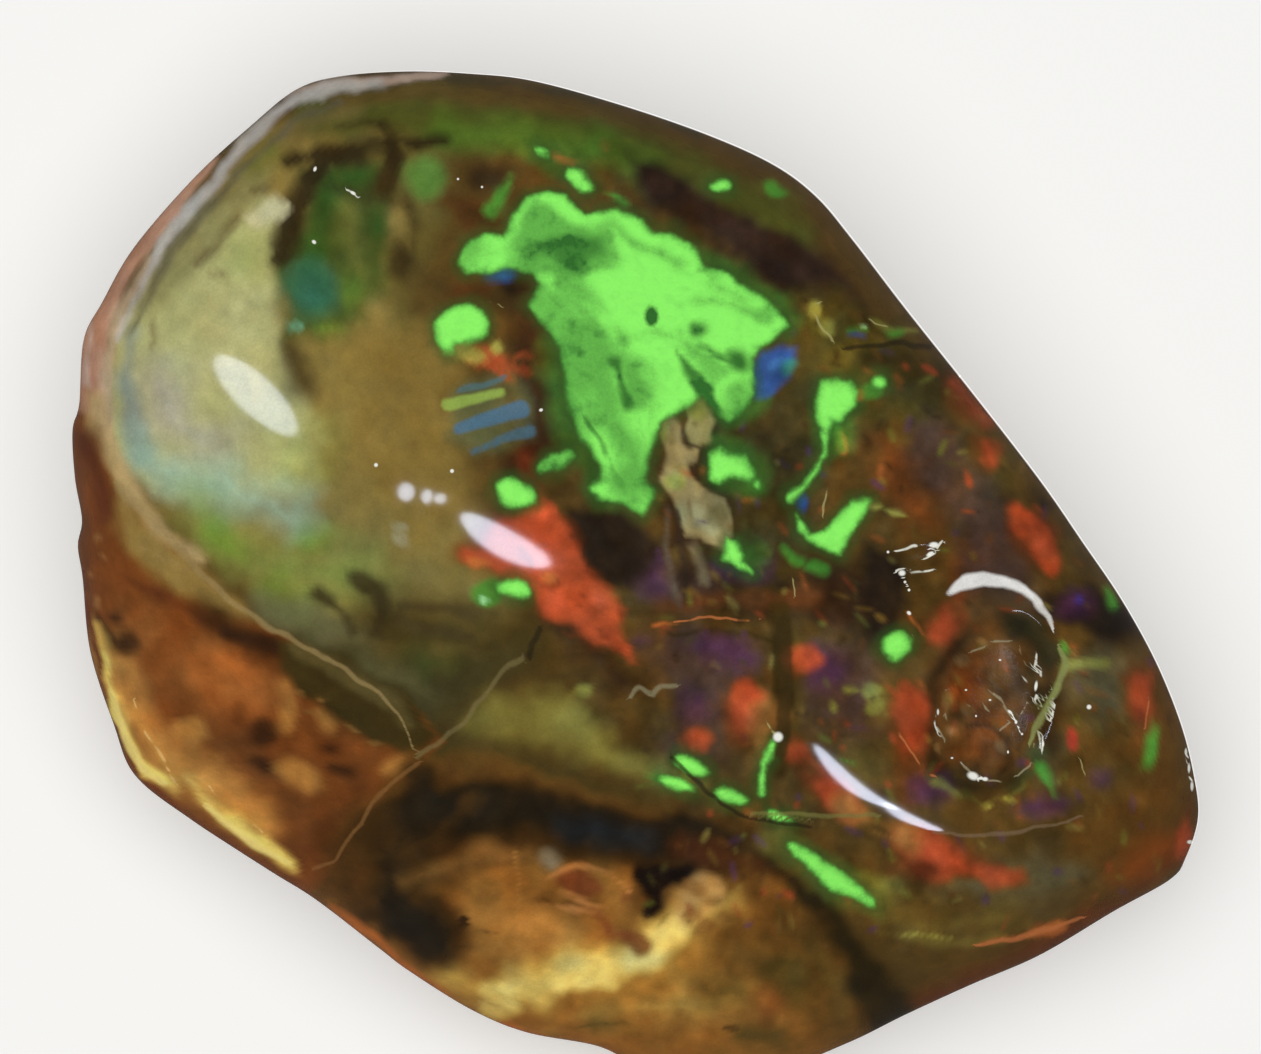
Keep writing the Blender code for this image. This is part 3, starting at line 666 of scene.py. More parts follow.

# The front facet: amber, with a bright band of painted glow, under a dark band of painted shade

FRONT_TONES = (
    tone("amber", (140, 92, 46), 30, 10, patch(
        (420, 762), (540, 782), (660, 812), (740, 836), (790, 862), (830, 930), (880, 1012), (860, 1080),
        (600, 1090), (420, 1000), (316, 900), (346, 850), (380, 800))),
    tone("clay amber", (180, 124, 68), 50, 12, spot(514, 930, 56, 28), strength=0.9),
    tone("bracken", (88, 62, 30), 50, 16, stroke((34, 46), (750, 950), (790, 950), (840, 1010)), strength=0.9),
    tone("front base", (170, 130, 70), 40, 14, spot(650, 1006, 90, 18, -6), strength=0.8),
    tone("dark olive", (76, 66, 35), 30, 14, spot(716, 990, 22, 14), spot(600, 1024, 34, 8), spot(790, 980, 24, 26),
         spot(760, 1036, 30, 10), spot(650, 1000, 14, 8), strength=0.75),
    # Painted glow: the honey and straw band is light shining through the amber near the front rim.
    tone("honey", (200, 160, 88), 36, 14, stroke((10, 20), (446, 978), (490, 988), (560, 980)),
         stroke((20, 20), (560, 980), (640, 956), (680, 920)), stroke((16, 12), (680, 920), (712, 900), (740, 896)),
         strength=0.95),
    tone("honey deep", (160, 114, 56), 40, 12, stroke((14, 20), (560, 1004), (620, 994), (690, 960)), strength=0.8),
    tone("straw", (234, 210, 126), 24, 10, stroke((8, 14), (486, 984), (530, 988), (590, 976)),
         stroke((14, 8), (590, 976), (640, 954), (672, 924)), spot(500, 1000, 18, 8), strength=0.95),
    # Painted shade: this tone and the next two are the dark band where the domed face turns down into the front facet.
    tone("night brown", (70, 46, 24), 34, 10, patch(
        (424, 764), (480, 780), (600, 800), (720, 826), (800, 860), (760, 900), (700, 880), (620, 868), (540, 862),
        (470, 872), (440, 892), (480, 950), (440, 970), (380, 938), (320, 896), (330, 850), (376, 800))),
    tone("night", (38, 29, 17), 40, 12, patch(
        (424, 768), (480, 780), (540, 792), (600, 800), (660, 812), (720, 826), (784, 846), (806, 868),
        (780, 876), (740, 862), (700, 854), (660, 866), (620, 856), (600, 850), (570, 842), (530, 832),
        (480, 838), (440, 846), (404, 866), (412, 896), (440, 930), (440, 950), (420, 950), (392, 930),
        (360, 896), (372, 856), (396, 800))),
    tone("deepest painted shade", (34, 28, 19), 24, 10, spot(410, 920, 30, 14, 40), spot(444, 800, 30, 12, 20), strength=0.8),
    tone("night warm", (84, 56, 30), 22, 10, stroke((4, 5), (470, 800), (440, 830), (400, 856)),
         stroke((3, 4), (380, 856), (356, 884), (360, 900)), strength=0.7),
    tone("dark amber", (126, 86, 48), 24, 9, stroke((7, 8), (400, 880), (440, 868), (480, 852), (530, 856)),
         strength=0.85),
    tone("smoke", (142, 122, 90), 16, 5, spot(552, 862, 12, 8, 30), strength=0.8),
    tone("navy", (27, 36, 42), 30, 8, stroke((6, 7), (560, 824), (606, 832), (646, 838)), strength=0.55),
    tone("red shade", (74, 40, 26), 24, 8, stroke((6, 8), (680, 850), (730, 858), (780, 872)), strength=0.8),
    tone("ink shade", (84, 52, 27), 26, 10, spot(652, 896, 36, 22, -8), spot(716, 892, 30, 12, -10), spot(560, 904, 40, 10, 6), strength=0.7),
    tone("ink", (26, 17, 12), 14, 7, stroke((8, 8), (636, 872), (658, 882), (686, 876)),
         stroke((5, 6), (648, 886), (660, 900), (648, 914))),
    tone("russet", (118, 60, 38), 11, 7, spot(582, 884, 24, 13), stroke((6, 9), (594, 914), (612, 934), (640, 940)),
         spot(622, 896, 7, 10), strength=0.9),
    tone("russet light", (188, 122, 76), 6, 3, stroke((2, 3), (552, 880), (580, 866), (612, 872), (626, 890)),
         stroke((2, 2), (536, 906), (576, 908), (604, 914)), stroke((2, 2), (560, 894), (590, 904), (618, 906)),
         strength=0.8),
    tone("peach", (200, 152, 96), 18, 10, spot(700, 900, 28, 14, -24), strength=0.7),
    tone("peach shade", (128, 84, 48), 8, 6, spot(692, 890, 9, 3, 20), spot(714, 904, 8, 4, -20), spot(690, 916, 6, 4),
         spot(728, 918, 8, 5), spot(704, 930, 9, 3), strength=0.7),
    tone("russet front", (112, 60, 36), 22, 9, spot(772, 1004, 14, 18), spot(486, 998, 14, 4, 20), strength=0.6),
    tone("front specks", (42, 28, 18), 4, 2, spot(466, 919, 4, 5), spot(764, 894, 2, 2), spot(730, 1028, 8, 2),
         strength=0.9),
    tone("front dash", (110, 78, 44), 4, 2, stroke((1, 1), (482, 930), (506, 931)), strength=0.8),
    tone("front upright", (184, 130, 76), 5, 2, stroke((1, 2), (518, 846), (521, 900), (520, 952)), strength=0.5),
    tone("peat", (40, 31, 16), 26, 8, stroke((10, 24), (776, 862), (826, 918), (866, 972), (896, 1020))),
    tone("bank shade", (100, 78, 38), 24, 8, stroke((5, 8), (806, 940), (836, 980)), strength=0.7),
    tone("peat side", (74, 50, 24), 30, 10, stroke((10, 16), (748, 884), (786, 914), (810, 940)), strength=0.7),
    tone("front rim", (176, 98, 50), 9, 3, stroke(
        (3, 6), (330, 904), (372, 936), (420, 982), (480, 1022), (540, 1040), (612, 1054)), strength=0.85),
    tone("leaf bank", (100, 112, 50), 26, 8, stroke((12, 14), (776, 842), (822, 874), (880, 902)), strength=0.75),
    tone("right bank", (110, 92, 48), 36, 10, stroke((10, 12), (868, 905), (930, 926), (1000, 918)),
         stroke((6, 6), (770, 842), (800, 866)), strength=0.8),
    tone("bank light", (122, 108, 56), 14, 6, stroke((4, 5), (880, 930), (940, 944), (1000, 938)), strength=0.5),
)

# The strip of sandy rock that runs into the stone

SEAM_TONES = (
    tone("seam shade", (46, 35, 26), 14, 6, stroke((8, 10), (680, 520), (686, 560), (688, 600)),
         stroke((4, 4), (716, 430), (724, 470), (712, 490)), spot(712, 452, 10, 8), strength=0.85),
    tone("sand", (148, 130, 84), 6, 5, patch(
        (664, 419), (673, 417), (681, 426), (685, 443), (692, 448), (699, 448), (697, 458), (691, 467), (692, 476),
        (703, 485), (714, 491), (727, 496), (734, 506), (737, 520), (735, 534), (724, 550), (712, 543), (701, 535),
        (686, 537), (679, 520), (673, 509), (664, 493), (660, 478), (666, 467), (668, 454), (666, 441), (662, 428))),
    tone("rose sand", (144, 134, 82), 6, 4, patch(
        (692, 408), (705, 406), (717, 421), (711, 435), (712, 443), (699, 446), (688, 441), (684, 432), (690, 424))),
    tone("pale sand", (170, 160, 112), 12, 6, spot(706, 520, 18, 9, 40), spot(682, 516, 6, 14, -10), strength=0.8),
    tone("green sand", (134, 144, 66), 9, 5, spot(698, 412, 6, 6), spot(676, 484, 12, 10), spot(666, 430, 4, 10),
         strength=0.7),
    tone("sand shade", (104, 92, 50), 10, 6, spot(720, 512, 13, 14), spot(674, 436, 5, 10), strength=0.6),
    tone("grey sand", (118, 102, 72), 9, 5, stroke((6, 7), (694, 546), (700, 566), (703, 586)), strength=0.85),
    tone("left strip", (92, 78, 62), 8, 4, stroke((4, 5), (668, 512), (668, 546), (672, 576), (677, 606)), strength=0.85),
    tone("sand crack", (50, 36, 26), 5, 2, stroke((2, 2), (684, 430), (690, 444), (704, 446)),
         stroke((2, 3), (677, 512), (681, 536), (684, 560)), strength=0.8),
)

# Flashes of colour with soft edges

FLASH_TONES = (
    tone("bar haze", (92, 104, 66), 20, 6, patch((446, 392), (510, 376), (530, 400), (532, 436), (476, 456), (456, 430)),
         strength=0.6),
    tone("green haze", (60, 104, 44), 22, 9,
         patch((700, 250), (742, 262), (776, 286), (798, 318), (790, 340), (740, 300)),
         patch((716, 440), (752, 440), (768, 476), (756, 500), (724, 486)), spot(748, 556, 16, 22),
         spot(738, 392, 20, 30), stroke((12, 14), (560, 350), (566, 420), (600, 490)), spot(838, 420, 20, 40, 10),
         strength=0.7),
    tone("blue flash", (46, 84, 150), 12, 5, patch(
        (760, 350), (778, 344), (796, 346), (792, 372), (772, 388), (756, 392), (752, 374)),
         spot(500, 277, 8, 4), spot(801, 500, 6, 6), spot(854, 338, 8, 3), strength=0.9),
    tone("blue light", (70, 124, 184), 9, 4, spot(778, 362, 11, 6, -30), spot(502, 276, 4, 3), strength=0.6),
    tone("blue green", (60, 150, 116), 9, 4, spot(791, 364, 6, 7), strength=0.6),
    tone("red glow", (112, 50, 30), 26, 8,
         patch((500, 520), (542, 494), (558, 520), (600, 588), (640, 660), (600, 650), (530, 600), (460, 548)),
         spot(742, 712, 20, 32), spot(1036, 540, 18, 32, -24), spot(940, 858, 60, 20, 14),
         spot(908, 726, 15, 32), spot(938, 624, 16, 22, 40), spot(828, 786, 34, 16, 34), spot(1140, 700, 6, 24),
         spot(966, 396, 16, 28, -36), spot(986, 452, 8, 14, -20), strength=0.8),
    tone("red flash", (172, 74, 48), 12, 8, patch(
        (508, 520), (527, 506), (542, 498), (553, 506), (557, 526), (572, 546), (584, 566),
        (590, 580), (613, 590), (630, 610), (622, 626), (636, 644), (641, 666), (626, 668), (614, 656),
        (598, 646), (577, 638), (556, 622), (540, 604), (528, 588), (506, 572), (486, 562), (468, 552), (486, 546)),
         spot(490, 358, 12, 2, 10), spot(492, 370, 8, 2, 10),
         stroke((6, 14), (1018, 508), (1034, 534), (1048, 562)), strength=0.85),
    tone("soft red", (166, 72, 48), 18, 10, spot(746, 706, 17, 26, -8), spot(804, 656, 11, 5, 14),
         spot(908, 720, 10, 26, -14), spot(938, 626, 15, 24, 36), spot(846, 722, 9, 9, 20),
         stroke((8, 5), (800, 752), (822, 768)), stroke((10, 11), (822, 782), (856, 812)),
         stroke((11, 15), (894, 838), (932, 852), (964, 868)), stroke((13, 4), (964, 866), (992, 876), (1016, 876)),
         stroke((4, 4), (954, 382), (970, 400), (986, 420)), stroke((3, 5), (982, 440), (992, 460)),
         spot(1142, 700, 4, 12, 8), spot(700, 742, 10, 8, 30), spot(606, 152, 4, 3), spot(668, 626, 9, 4),
         spot(1186, 836, 2, 16, 4), strength=0.8),
    tone("crimson", (146, 42, 44), 7, 3, spot(1072, 738, 4, 9, -12), strength=0.8),
    tone("red light", (190, 84, 62), 14, 6, spot(536, 514, 8, 7), spot(560, 604, 12, 10, 30), spot(600, 602, 11, 8, 20),
         spot(750, 704, 7, 12), spot(944, 858, 24, 5, 14), spot(628, 652, 4, 9, -10), spot(1040, 548, 4, 10, -20),
         spot(540, 560, 8, 10, -30), strength=0.65),
    tone("red shade", (104, 46, 28), 8, 6, spot(580, 600, 4, 12, 30), spot(600, 632, 14, 6, 40), spot(526, 556, 4, 9, -30),
         spot(614, 646, 8, 4, 20), spot(566, 634, 8, 3, 40), spot(926, 872, 8, 3), spot(590, 574, 5, 3),
         spot(556, 584, 6, 3, 30), spot(622, 614, 4, 7), strength=0.6),
    tone("warm haze", (140, 96, 56), 22, 10, stroke((10, 12), (846, 806), (872, 820), (900, 836)), spot(764, 728, 12, 28, 8),
         spot(888, 840, 24, 9, 20), strength=0.8),
    tone("orange flash", (184, 104, 60), 7, 3, stroke((2, 3), (554, 152), (574, 161)), stroke((4, 2), (656, 624), (676, 620)),
         spot(550, 578, 7, 5, 30), spot(478, 560, 9, 4), stroke((2, 3), (840, 396), (860, 392)),
         stroke((1, 3), (976, 944), (1021, 937), (1062, 923)), spot(478, 362, 9, 3), spot(840, 444, 4, 12, -10),
         stroke((1, 2), (906, 612), (918, 634)), strength=0.75),
    tone("yellow flash", (160, 154, 78), 8, 5, spot(464, 354, 16, 4, 24), spot(894, 511, 14, 4, 10),
         spot(872, 506, 9, 4), spot(988, 804, 6, 4), spot(1008, 799, 7, 4), spot(814, 312, 4, 8),
         stroke((1, 2), (904, 934), (950, 936)), spot(500, 348, 4, 3), strength=0.8),
    tone("olive flash", (132, 132, 66), 9, 5, spot(850, 687, 10, 5), spot(870, 690, 13, 9), spot(872, 704, 10, 8),
         spot(831, 706, 4, 6), stroke((2, 2), (870, 318), (892, 328), (920, 334)), spot(826, 330, 8, 10),
         stroke((3, 2), (1066, 667), (1080, 664), (1106, 664)), spot(700, 416, 8, 5, 30), spot(587, 692, 5, 5),
         stroke((3, 1), (1024, 782), (1008, 796), (986, 803)), stroke((1, 2), (986, 803), (964, 798), (938, 782)),
         strength=0.75),
    tone("olive dark", (64, 50, 28), 6, 3, spot(870, 696, 4, 3), strength=0.7),
    tone("dim green", (72, 140, 58), 10, 6, spot(775, 190, 12, 5, 30), stroke((2, 3), (606, 193), (616, 198), (624, 204)),
         patch((714, 458), (730, 450), (744, 454), (751, 466), (742, 474), (728, 480), (718, 474)),
         stroke((4, 3), (748, 470), (754, 478), (760, 486)), patch((724, 544), (738, 536), (748, 556), (746, 570), (732, 564)),
         stroke((3, 4), (788, 552), (800, 562)), stroke((3, 3), (808, 568), (822, 571)),
         stroke((2, 3), (492, 212), (504, 190), (510, 178)), spot(486, 594, 12, 11), spot(900, 332, 8, 4),
         spot(1110, 600, 3, 12, -24), stroke((2, 2), (1055, 792), (1040, 766)), spot(1062, 648, 3, 5),
         spot(1150, 746, 4, 16, 12), stroke((3, 2), (846, 334), (864, 330)), spot(844, 761, 9, 3, 10),
         spot(870, 386, 5, 4), stroke((3, 3), (834, 424), (840, 450)), stroke((5, 3), (660, 784), (644, 778)),
         strength=0.85),
    tone("white green", (160, 220, 150), 5, 2, spot(481, 601, 3, 3), spot(862, 327, 3, 2), strength=0.8),
)

# Wider marks with sharp edges: a name, a colour, how strong it is, and dabs

WIDE_MARKS = (
    ("lime bar", (144, 170, 76), 0.85, (stroke((7, 5), (448, 404), (474, 399), (500, 392)),)),
    ("blue bar", (68, 112, 142), 0.7, (stroke((6, 10), (458, 428), (490, 419), (520, 410)),)),
    ("low blue bar", (66, 104, 124), 0.65, (stroke((3, 6), (472, 451), (500, 441), (530, 431)),)),
    # Painted highlight: a white arc where the polish of the pit's upper lip would catch a lamp.
    ("painted highlight on the pit's lip", (226, 224, 220), 0.95, (
        stroke((3, 8), (950, 594), (958, 588), (966, 583)), stroke((8, 6), (966, 583), (984, 579), (1004, 582)),
        stroke((6, 4), (1004, 582), (1024, 591), (1040, 605)),
    )),
    # Painted glow: the brightest yellow lines of light shining through the amber along the left rim.
    ("fold", (242, 218, 128), 0.85, (
        stroke((2, 5), (110, 690), (120, 722), (132, 750)), stroke((5, 3), (132, 750), (144, 770), (164, 784)),
        stroke((3, 5), (206, 806), (236, 830), (256, 844)), stroke((5, 2), (256, 844), (272, 854), (290, 864)),
    )),
    ("upright bar", (58, 44, 20), 0.75, (stroke((8, 7), (784, 622), (785, 680), (783, 730), (780, 752)),)),
)

# Green flashes: the bright areas, and what is darker inside them

BRIGHT_GREENS = (
    patch((462, 262), (466, 244), (484, 236), (506, 238), (514, 214), (526, 199), (545, 193), (566, 193),
          (577, 202), (588, 214), (618, 212), (640, 217), (652, 229), (672, 232), (690, 240), (700, 256),
          (706, 268), (730, 276), (748, 288), (764, 300), (778, 312), (788, 324), (778, 332), (760, 344),
          (752, 356), (750, 374), (752, 390), (744, 406), (730, 420), (716, 410), (704, 398), (690, 406),
          (672, 416), (660, 426), (656, 442), (652, 456), (648, 474), (656, 492), (650, 508), (640, 518),
          (624, 506), (600, 500), (588, 490), (604, 480), (600, 468), (588, 455), (574, 430), (568, 405),
          (568, 380), (562, 350), (545, 326), (527, 306), (540, 290), (530, 276), (506, 268), (486, 276), (470, 276)),
    spot(463, 327, 25, 22), spot(450, 340, 10, 14),
    patch((818, 384), (834, 378), (848, 376), (858, 388), (858, 402), (848, 412), (842, 420), (830, 422),
          (824, 436), (816, 424), (814, 400)),
    stroke((3, 2), (820, 430), (822, 452), (813, 470)), stroke((2, 2), (813, 470), (800, 486), (787, 497)),
    patch((793, 512), (802, 522), (812, 534), (826, 530), (838, 514), (850, 503), (866, 502), (860, 520),
          (852, 536), (844, 558), (830, 552), (814, 542), (800, 530)),
    patch((727, 534), (738, 541), (743, 552), (740, 561), (750, 573), (736, 568), (721, 560), (723, 552)),
    patch((713, 453), (723, 448), (732, 455), (747, 456), (756, 472), (752, 479), (732, 475), (723, 482), (712, 476)), spot(514, 491, 21, 11, 14),
    spot(556, 465, 17, 8, -34), spot(512, 590, 17, 10, 10), stroke((5, 10), (792, 846), (812, 862), (834, 881)),
    stroke((10, 4), (834, 881), (852, 892), (874, 902)), spot(582, 178, 16, 7, 38), spot(542, 149, 7, 4, 10),
    spot(720, 184, 9, 6, 10), spot(878, 380, 7, 6), spot(895, 647, 11, 14, 20),
    stroke((4, 3), (775, 744), (764, 764), (760, 792)), spot(692, 768, 16, 8, 38), spot(676, 787, 18, 6, 18),
    spot(728, 799, 15, 8, 14), spot(780, 816, 13, 4, 12), spot(759, 482, 3, 3),
)

GREEN_SHADES = (
    tone("streaks", (0, 0, 0), 14, 8, stroke((3, 5), (600, 330), (614, 390), (630, 450), (640, 496)),
         stroke((2, 4), (586, 366), (596, 430), (620, 486)), stroke((2, 3), (642, 350), (650, 400), (648, 440)),
         stroke((2, 4), (546, 294), (580, 306), (610, 350)), stroke((2, 3), (700, 300), (736, 306), (766, 318)),
         stroke((2, 3), (620, 232), (650, 250), (680, 262)), stroke((2, 3), (672, 344), (700, 356), (724, 372)),
         strength=0.5),
    tone("left shade", (0, 0, 0), 30, 14, stroke((18, 26), (584, 340), (600, 400), (620, 440), (650, 480)),
         spot(560, 470, 20, 10), strength=0.6),
    tone("right shade", (0, 0, 0), 26, 12, spot(634, 384, 22, 34), strength=0.62),
    tone("lobe shade", (0, 0, 0), 16, 10, patch(
        (524, 204), (548, 199), (570, 206), (586, 218), (604, 232), (612, 256), (592, 266), (560, 268),
        (534, 276), (518, 262), (516, 232)), strength=0.6),
    tone("lobe deep", (0, 0, 0), 34, 10, patch(
        (524, 238), (548, 224), (580, 226), (608, 234), (606, 256), (580, 262), (552, 264), (528, 258)), strength=0.9),
    tone("middle shade", (0, 0, 0), 20, 12, stroke((14, 15), (534, 300), (560, 320), (576, 344)), spot(594, 236, 20, 14),
         stroke((3, 5), (560, 284), (600, 300), (622, 336)), stroke((4, 7), (566, 360), (576, 410), (600, 448)),
         stroke((3, 4), (652, 330), (690, 346), (716, 372)), spot(728, 292, 14, 4, 30),
         stroke((8, 10), (632, 448), (642, 476), (640, 500)), spot(740, 400, 8, 14), spot(468, 262, 8, 12),
         spot(640, 388, 16, 30), spot(604, 400, 14, 16), strength=0.5),
    tone("dark hole", (0, 0, 0), 18, 7, stroke((7, 12), (614, 366), (620, 388), (626, 406)), spot(738, 360, 8, 9),
         strength=0.95),
    tone("slits", (0, 0, 0), 8, 3, stroke((2, 6), (678, 352), (690, 370), (706, 392)), stroke((4, 3), (704, 392), (720, 412)),
         stroke((3, 4), (584, 420), (594, 440), (602, 456)), stroke((1, 2), (700, 344), (720, 358), (738, 366)),
         strength=0.9),
    tone("holes", (0, 0, 0), 7, 2, spot(652, 315, 6, 7), strength=1.3),
    tone("second hole", (0, 0, 0), 12, 2, spot(698, 329, 6, 7), strength=0.9),
    tone("lower shade", (0, 0, 0), 14, 6, stroke((3, 4), (598, 446), (612, 466), (624, 486)),
         stroke((2, 3), (636, 416), (646, 440), (652, 466)), strength=0.7),
)

# Where the colours are clouded, and how much

CLOUDING = (
    tone("all", (0, 0, 0), 60, 0, patch((0, 0), (1261, 0), (1261, 1100), (0, 1100)), strength=0.12),
    tone("right half", (0, 0, 0), 60, 0, patch((470, 130), (640, 140), (830, 260), (1100, 560), (1180, 800), (900, 950),
         (700, 840), (560, 690), (500, 480)), strength=0.42),
    tone("pocket", (0, 0, 0), 40, 0, spot(345, 240, 60, 110), strength=0.28),
    tone("left facet", (0, 0, 0), 40, 0, patch((90, 580), (220, 610), (400, 760), (330, 880), (110, 740)), strength=0.3),
    tone("front facet", (0, 0, 0), 40, 0, patch((420, 770), (780, 850), (900, 1020), (600, 1060), (330, 900)),
         strength=0.3),
    tone("crater", (0, 0, 0), 30, 0, spot(990, 700, 50, 84, 14), strength=0.75),
)

# Small flecks in the darker half: how many, where, and their colours

FLECK_COUNT = 520
FLECK_AREA = ((640, 300), (1180, 930))
FLECK_COLOURS = (
    (104, 108, 50), (140, 78, 46), (78, 50, 76), (132, 118, 66), (42, 30, 20), (150, 66, 46), (74, 66, 34),
    (110, 84, 44), (52, 38, 24), (96, 60, 34),
)

# Fine lines: a name, its colour, how strong it is, and strokes

LINES = (
    ("blue line", (76, 112, 118), 0.6, (stroke((3, 4), (505, 377), (484, 384), (462, 390)),)),
    # Painted highlight: a soft pale line along the rounded ridge between the domed face and the left facet.
    ("painted highlight along the left ridge", (152, 130, 84), 0.6, (
        stroke((6, 4), (118, 486), (158, 526), (198, 566)), stroke((4, 3), (198, 566), (230, 602), (262, 624), (284, 636)),
        stroke((3, 2.4), (284, 636), (312, 650), (338, 662)), stroke((2.4, 1.4), (338, 662), (372, 688), (400, 716), (414, 748)),
    )),
    ("facet line", (136, 96, 54), 0.5, (
        stroke((2.4, 2.4), (420, 762), (394, 780), (372, 806), (354, 834)),
        stroke((2.4, 1.4), (354, 834), (334, 862), (312, 868)),
    )),
    ("crack shine", (120, 108, 68), 0.5, (
        stroke((2, 2.4), (418, 757), (440, 740), (463, 723)), stroke((2.4, 3), (463, 723), (487, 693), (503, 673), (520, 660)),
    )),
    ("dark crack", (40, 33, 19), 0.75, (
        stroke((2, 2.4), (672, 758), (698, 782), (720, 802), (752, 818)), stroke((2.4, 1.6), (752, 818), (780, 824), (808, 826)),
        stroke((2, 3.4), (846, 348), (893, 342), (930, 346)), stroke((3, 4), (538, 628), (530, 644), (527, 656)),
    )),
    ("ridge olive", (118, 114, 62), 0.6, (stroke((2, 2.4), (752, 812), (790, 816), (830, 817), (878, 814)),)),
    # Painted highlight: a faint pale line along the ridge, where the lamp's streak on the polish fades out.
    ("faint painted highlight along the near ridge", (128, 106, 82), 0.45, (
        stroke((1.6, 2.4), (934, 833), (970, 836), (1010, 834)), stroke((2.4, 1.2), (1010, 834), (1044, 827), (1080, 817)),
    )),
    # Painted highlight: the thin end of the white arc on the pit's lip.
    ("painted highlight tail on the pit's lip", (206, 204, 196), 0.9, (stroke((4, 1.2), (1038, 603), (1047, 614), (1054, 628)),)),
    ("green fold", (134, 140, 82), 0.85, (
        stroke((2, 4), (1061, 647), (1066, 666), (1060, 685)), stroke((4, 3.4), (1060, 685), (1050, 704), (1040, 724)),
        stroke((3.4, 1.6), (1040, 724), (1034, 736), (1029, 746)),
    )),
    ("pit thread", (152, 142, 112), 0.7, (
        stroke((1, 1.4), (936, 700), (938, 716)), stroke((1, 1), (944, 706), (948, 718)), stroke((1.2, 1), (940, 728), (946, 742)),
        stroke((1, 1.4), (952, 744), (958, 760)), stroke((1.4, 1), (962, 764), (972, 774)), stroke((1, 1), (948, 690), (956, 684)),
        stroke((1, 1), (960, 700), (970, 706)), stroke((1, 1.4), (990, 690), (1002, 698)), stroke((1.4, 1), (1004, 704), (1012, 716)),
        stroke((1, 1), (1000, 730), (1010, 722)), stroke((1, 1), (984, 704), (992, 714)), stroke((1, 1.2), (970, 652), (984, 646)),
        stroke((1.2, 1), (994, 640), (1010, 642)), stroke((1, 1), (1020, 650), (1026, 664)), stroke((1, 1), (1028, 700), (1022, 714)),
        stroke((1, 1), (986, 780), (1004, 782)), stroke((1, 1), (1016, 776), (1028, 766)),
    )),
    ("grey thread", (132, 124, 94), 0.7, (
        stroke((2, 2.6), (630, 696), (640, 688), (648, 692)), stroke((2.4, 3), (652, 694), (662, 685), (674, 685)),
    )),
    ("orange thread", (176, 104, 58), 0.8, (
        stroke((1.4, 1.2), (676, 622), (697, 619), (722, 618), (762, 620)),
        stroke((1.4, 1.0), (896, 726), (908, 744), (915, 754), (922, 768), (934, 778)),
        stroke((1.4, 3.4), (976, 944), (1000, 940), (1021, 937), (1044, 930)),
        stroke((3.4, 1.0), (1044, 930), (1064, 923), (1084, 917)), stroke((1.0, 0.8), (1150, 700), (1148, 730)),
    )),
    # Painted glow: fine yellow threads of light shining through the amber along the left rim.
    ("thread of painted rim glow", (226, 186, 116), 0.7, (
        stroke((1, 1.6), (134, 700), (148, 736), (176, 780)), stroke((1, 1.2), (206, 786), (230, 808), (262, 832)),
    )),
    ("pale thread", (160, 152, 98), 0.75, (
        stroke((1, 1), (810, 313), (818, 304)), stroke((1, 1), (817, 318), (824, 332), (832, 341)),
        stroke((1, 0.8), (490, 302), (500, 308)), stroke((0.8, 0.8), (870, 321), (888, 327)),
        stroke((1, 1), (768, 722), (777, 736)), stroke((0.8, 0.8), (793, 580), (793, 596)),
        stroke((1, 1), (912, 636), (918, 650)), stroke((0.8, 0.8), (1080, 760), (1086, 774)),
        stroke((0.8, 0.8), (827, 476), (824, 516)),
    )),
    # Painted glints: short white threads where the chipped edges and the pit's walls would catch light.
    ("painted glint threads", (222, 222, 206), 0.95, (
        stroke((1.0, 1.4), (893, 549), (912, 545), (941, 541)), stroke((1.4, 1.0), (941, 541), (937, 550)),
        stroke((1.2, 1.0), (926, 558), (936, 553)), stroke((1.4, 1.0), (912, 574), (934, 571)),
        stroke((1.2, 1.0), (898, 571), (906, 569)), stroke((1.2, 1.2), (1035, 656), (1034, 668)),
        stroke((1.2, 1.4), (1040, 668), (1042, 682), (1038, 697)), stroke((1.0, 1.0), (1018, 668), (1024, 680), (1030, 687)),
        stroke((1.0, 0.8), (938, 703), (936, 722), (939, 732)), stroke((0.8, 0.8), (944, 743), (952, 752), (961, 762)),
        stroke((1, 1), (1058, 703), (1050, 722)), stroke((1, 1.2), (1044, 736), (1042, 752)),
        stroke((0.8, 0.8), (346, 189), (357, 196)),
    )),
)

# Painted glints of white, where the polish would catch light: pixel, radius along and across, tilt

PAINTED_GLINTS = (
    (315, 169, 1.6, 2.6, 20), (314, 242, 2.4, 1.8, 40), (376, 465, 2, 2, 0), (452, 471, 2, 2, 0), (353, 193, 3, 1.6, 30),
    (458, 179, 1.2, 1.2, 0), (482, 187, 1.2, 1.2, 0), (541, 410, 2, 1.6, -20), (778, 737, 5, 5, 0),
    (909, 613, 2.4, 1.8, 40), (1089, 707, 2.4, 2.4, 0), (934, 545, 5, 3, 0), (930, 554, 4, 2, -30), (902, 573, 3.5, 3, 0),
    (888, 552, 1.4, 1.4, 0), (1036, 686, 1.6, 5, 8), (1010, 712, 3, 1.4, 40), (1016, 722, 1.4, 2, 0),
    (973, 776, 6, 4, 20), (985, 779, 3, 2, 0), (938, 712, 1.2, 3, 0), (1043, 744, 1.2, 3, 0), (960, 376, 1.4, 1.4, 0),
    (1186, 752, 1.4, 4, 0), (1189, 768, 1.4, 5, 0), (1192, 786, 1.6, 5, 0), (1190, 842, 3, 2, 0),
    (909, 590, 1.4, 1.4, 0), (905, 582, 1.4, 1.4, 0), (1000, 660, 1.4, 1, 0), (966, 690, 1.2, 1, 0), (990, 700, 1.4, 1, 0),
    (976, 716, 1, 1.2, 0), (1022, 734, 1.2, 1.2, 0), (1008, 752, 1, 1.6, 0), (952, 758, 1.4, 1, 0),
)


FAR = 60.0
REACH = 130.0
NOISE_GRID = 64
WARP = 4.0


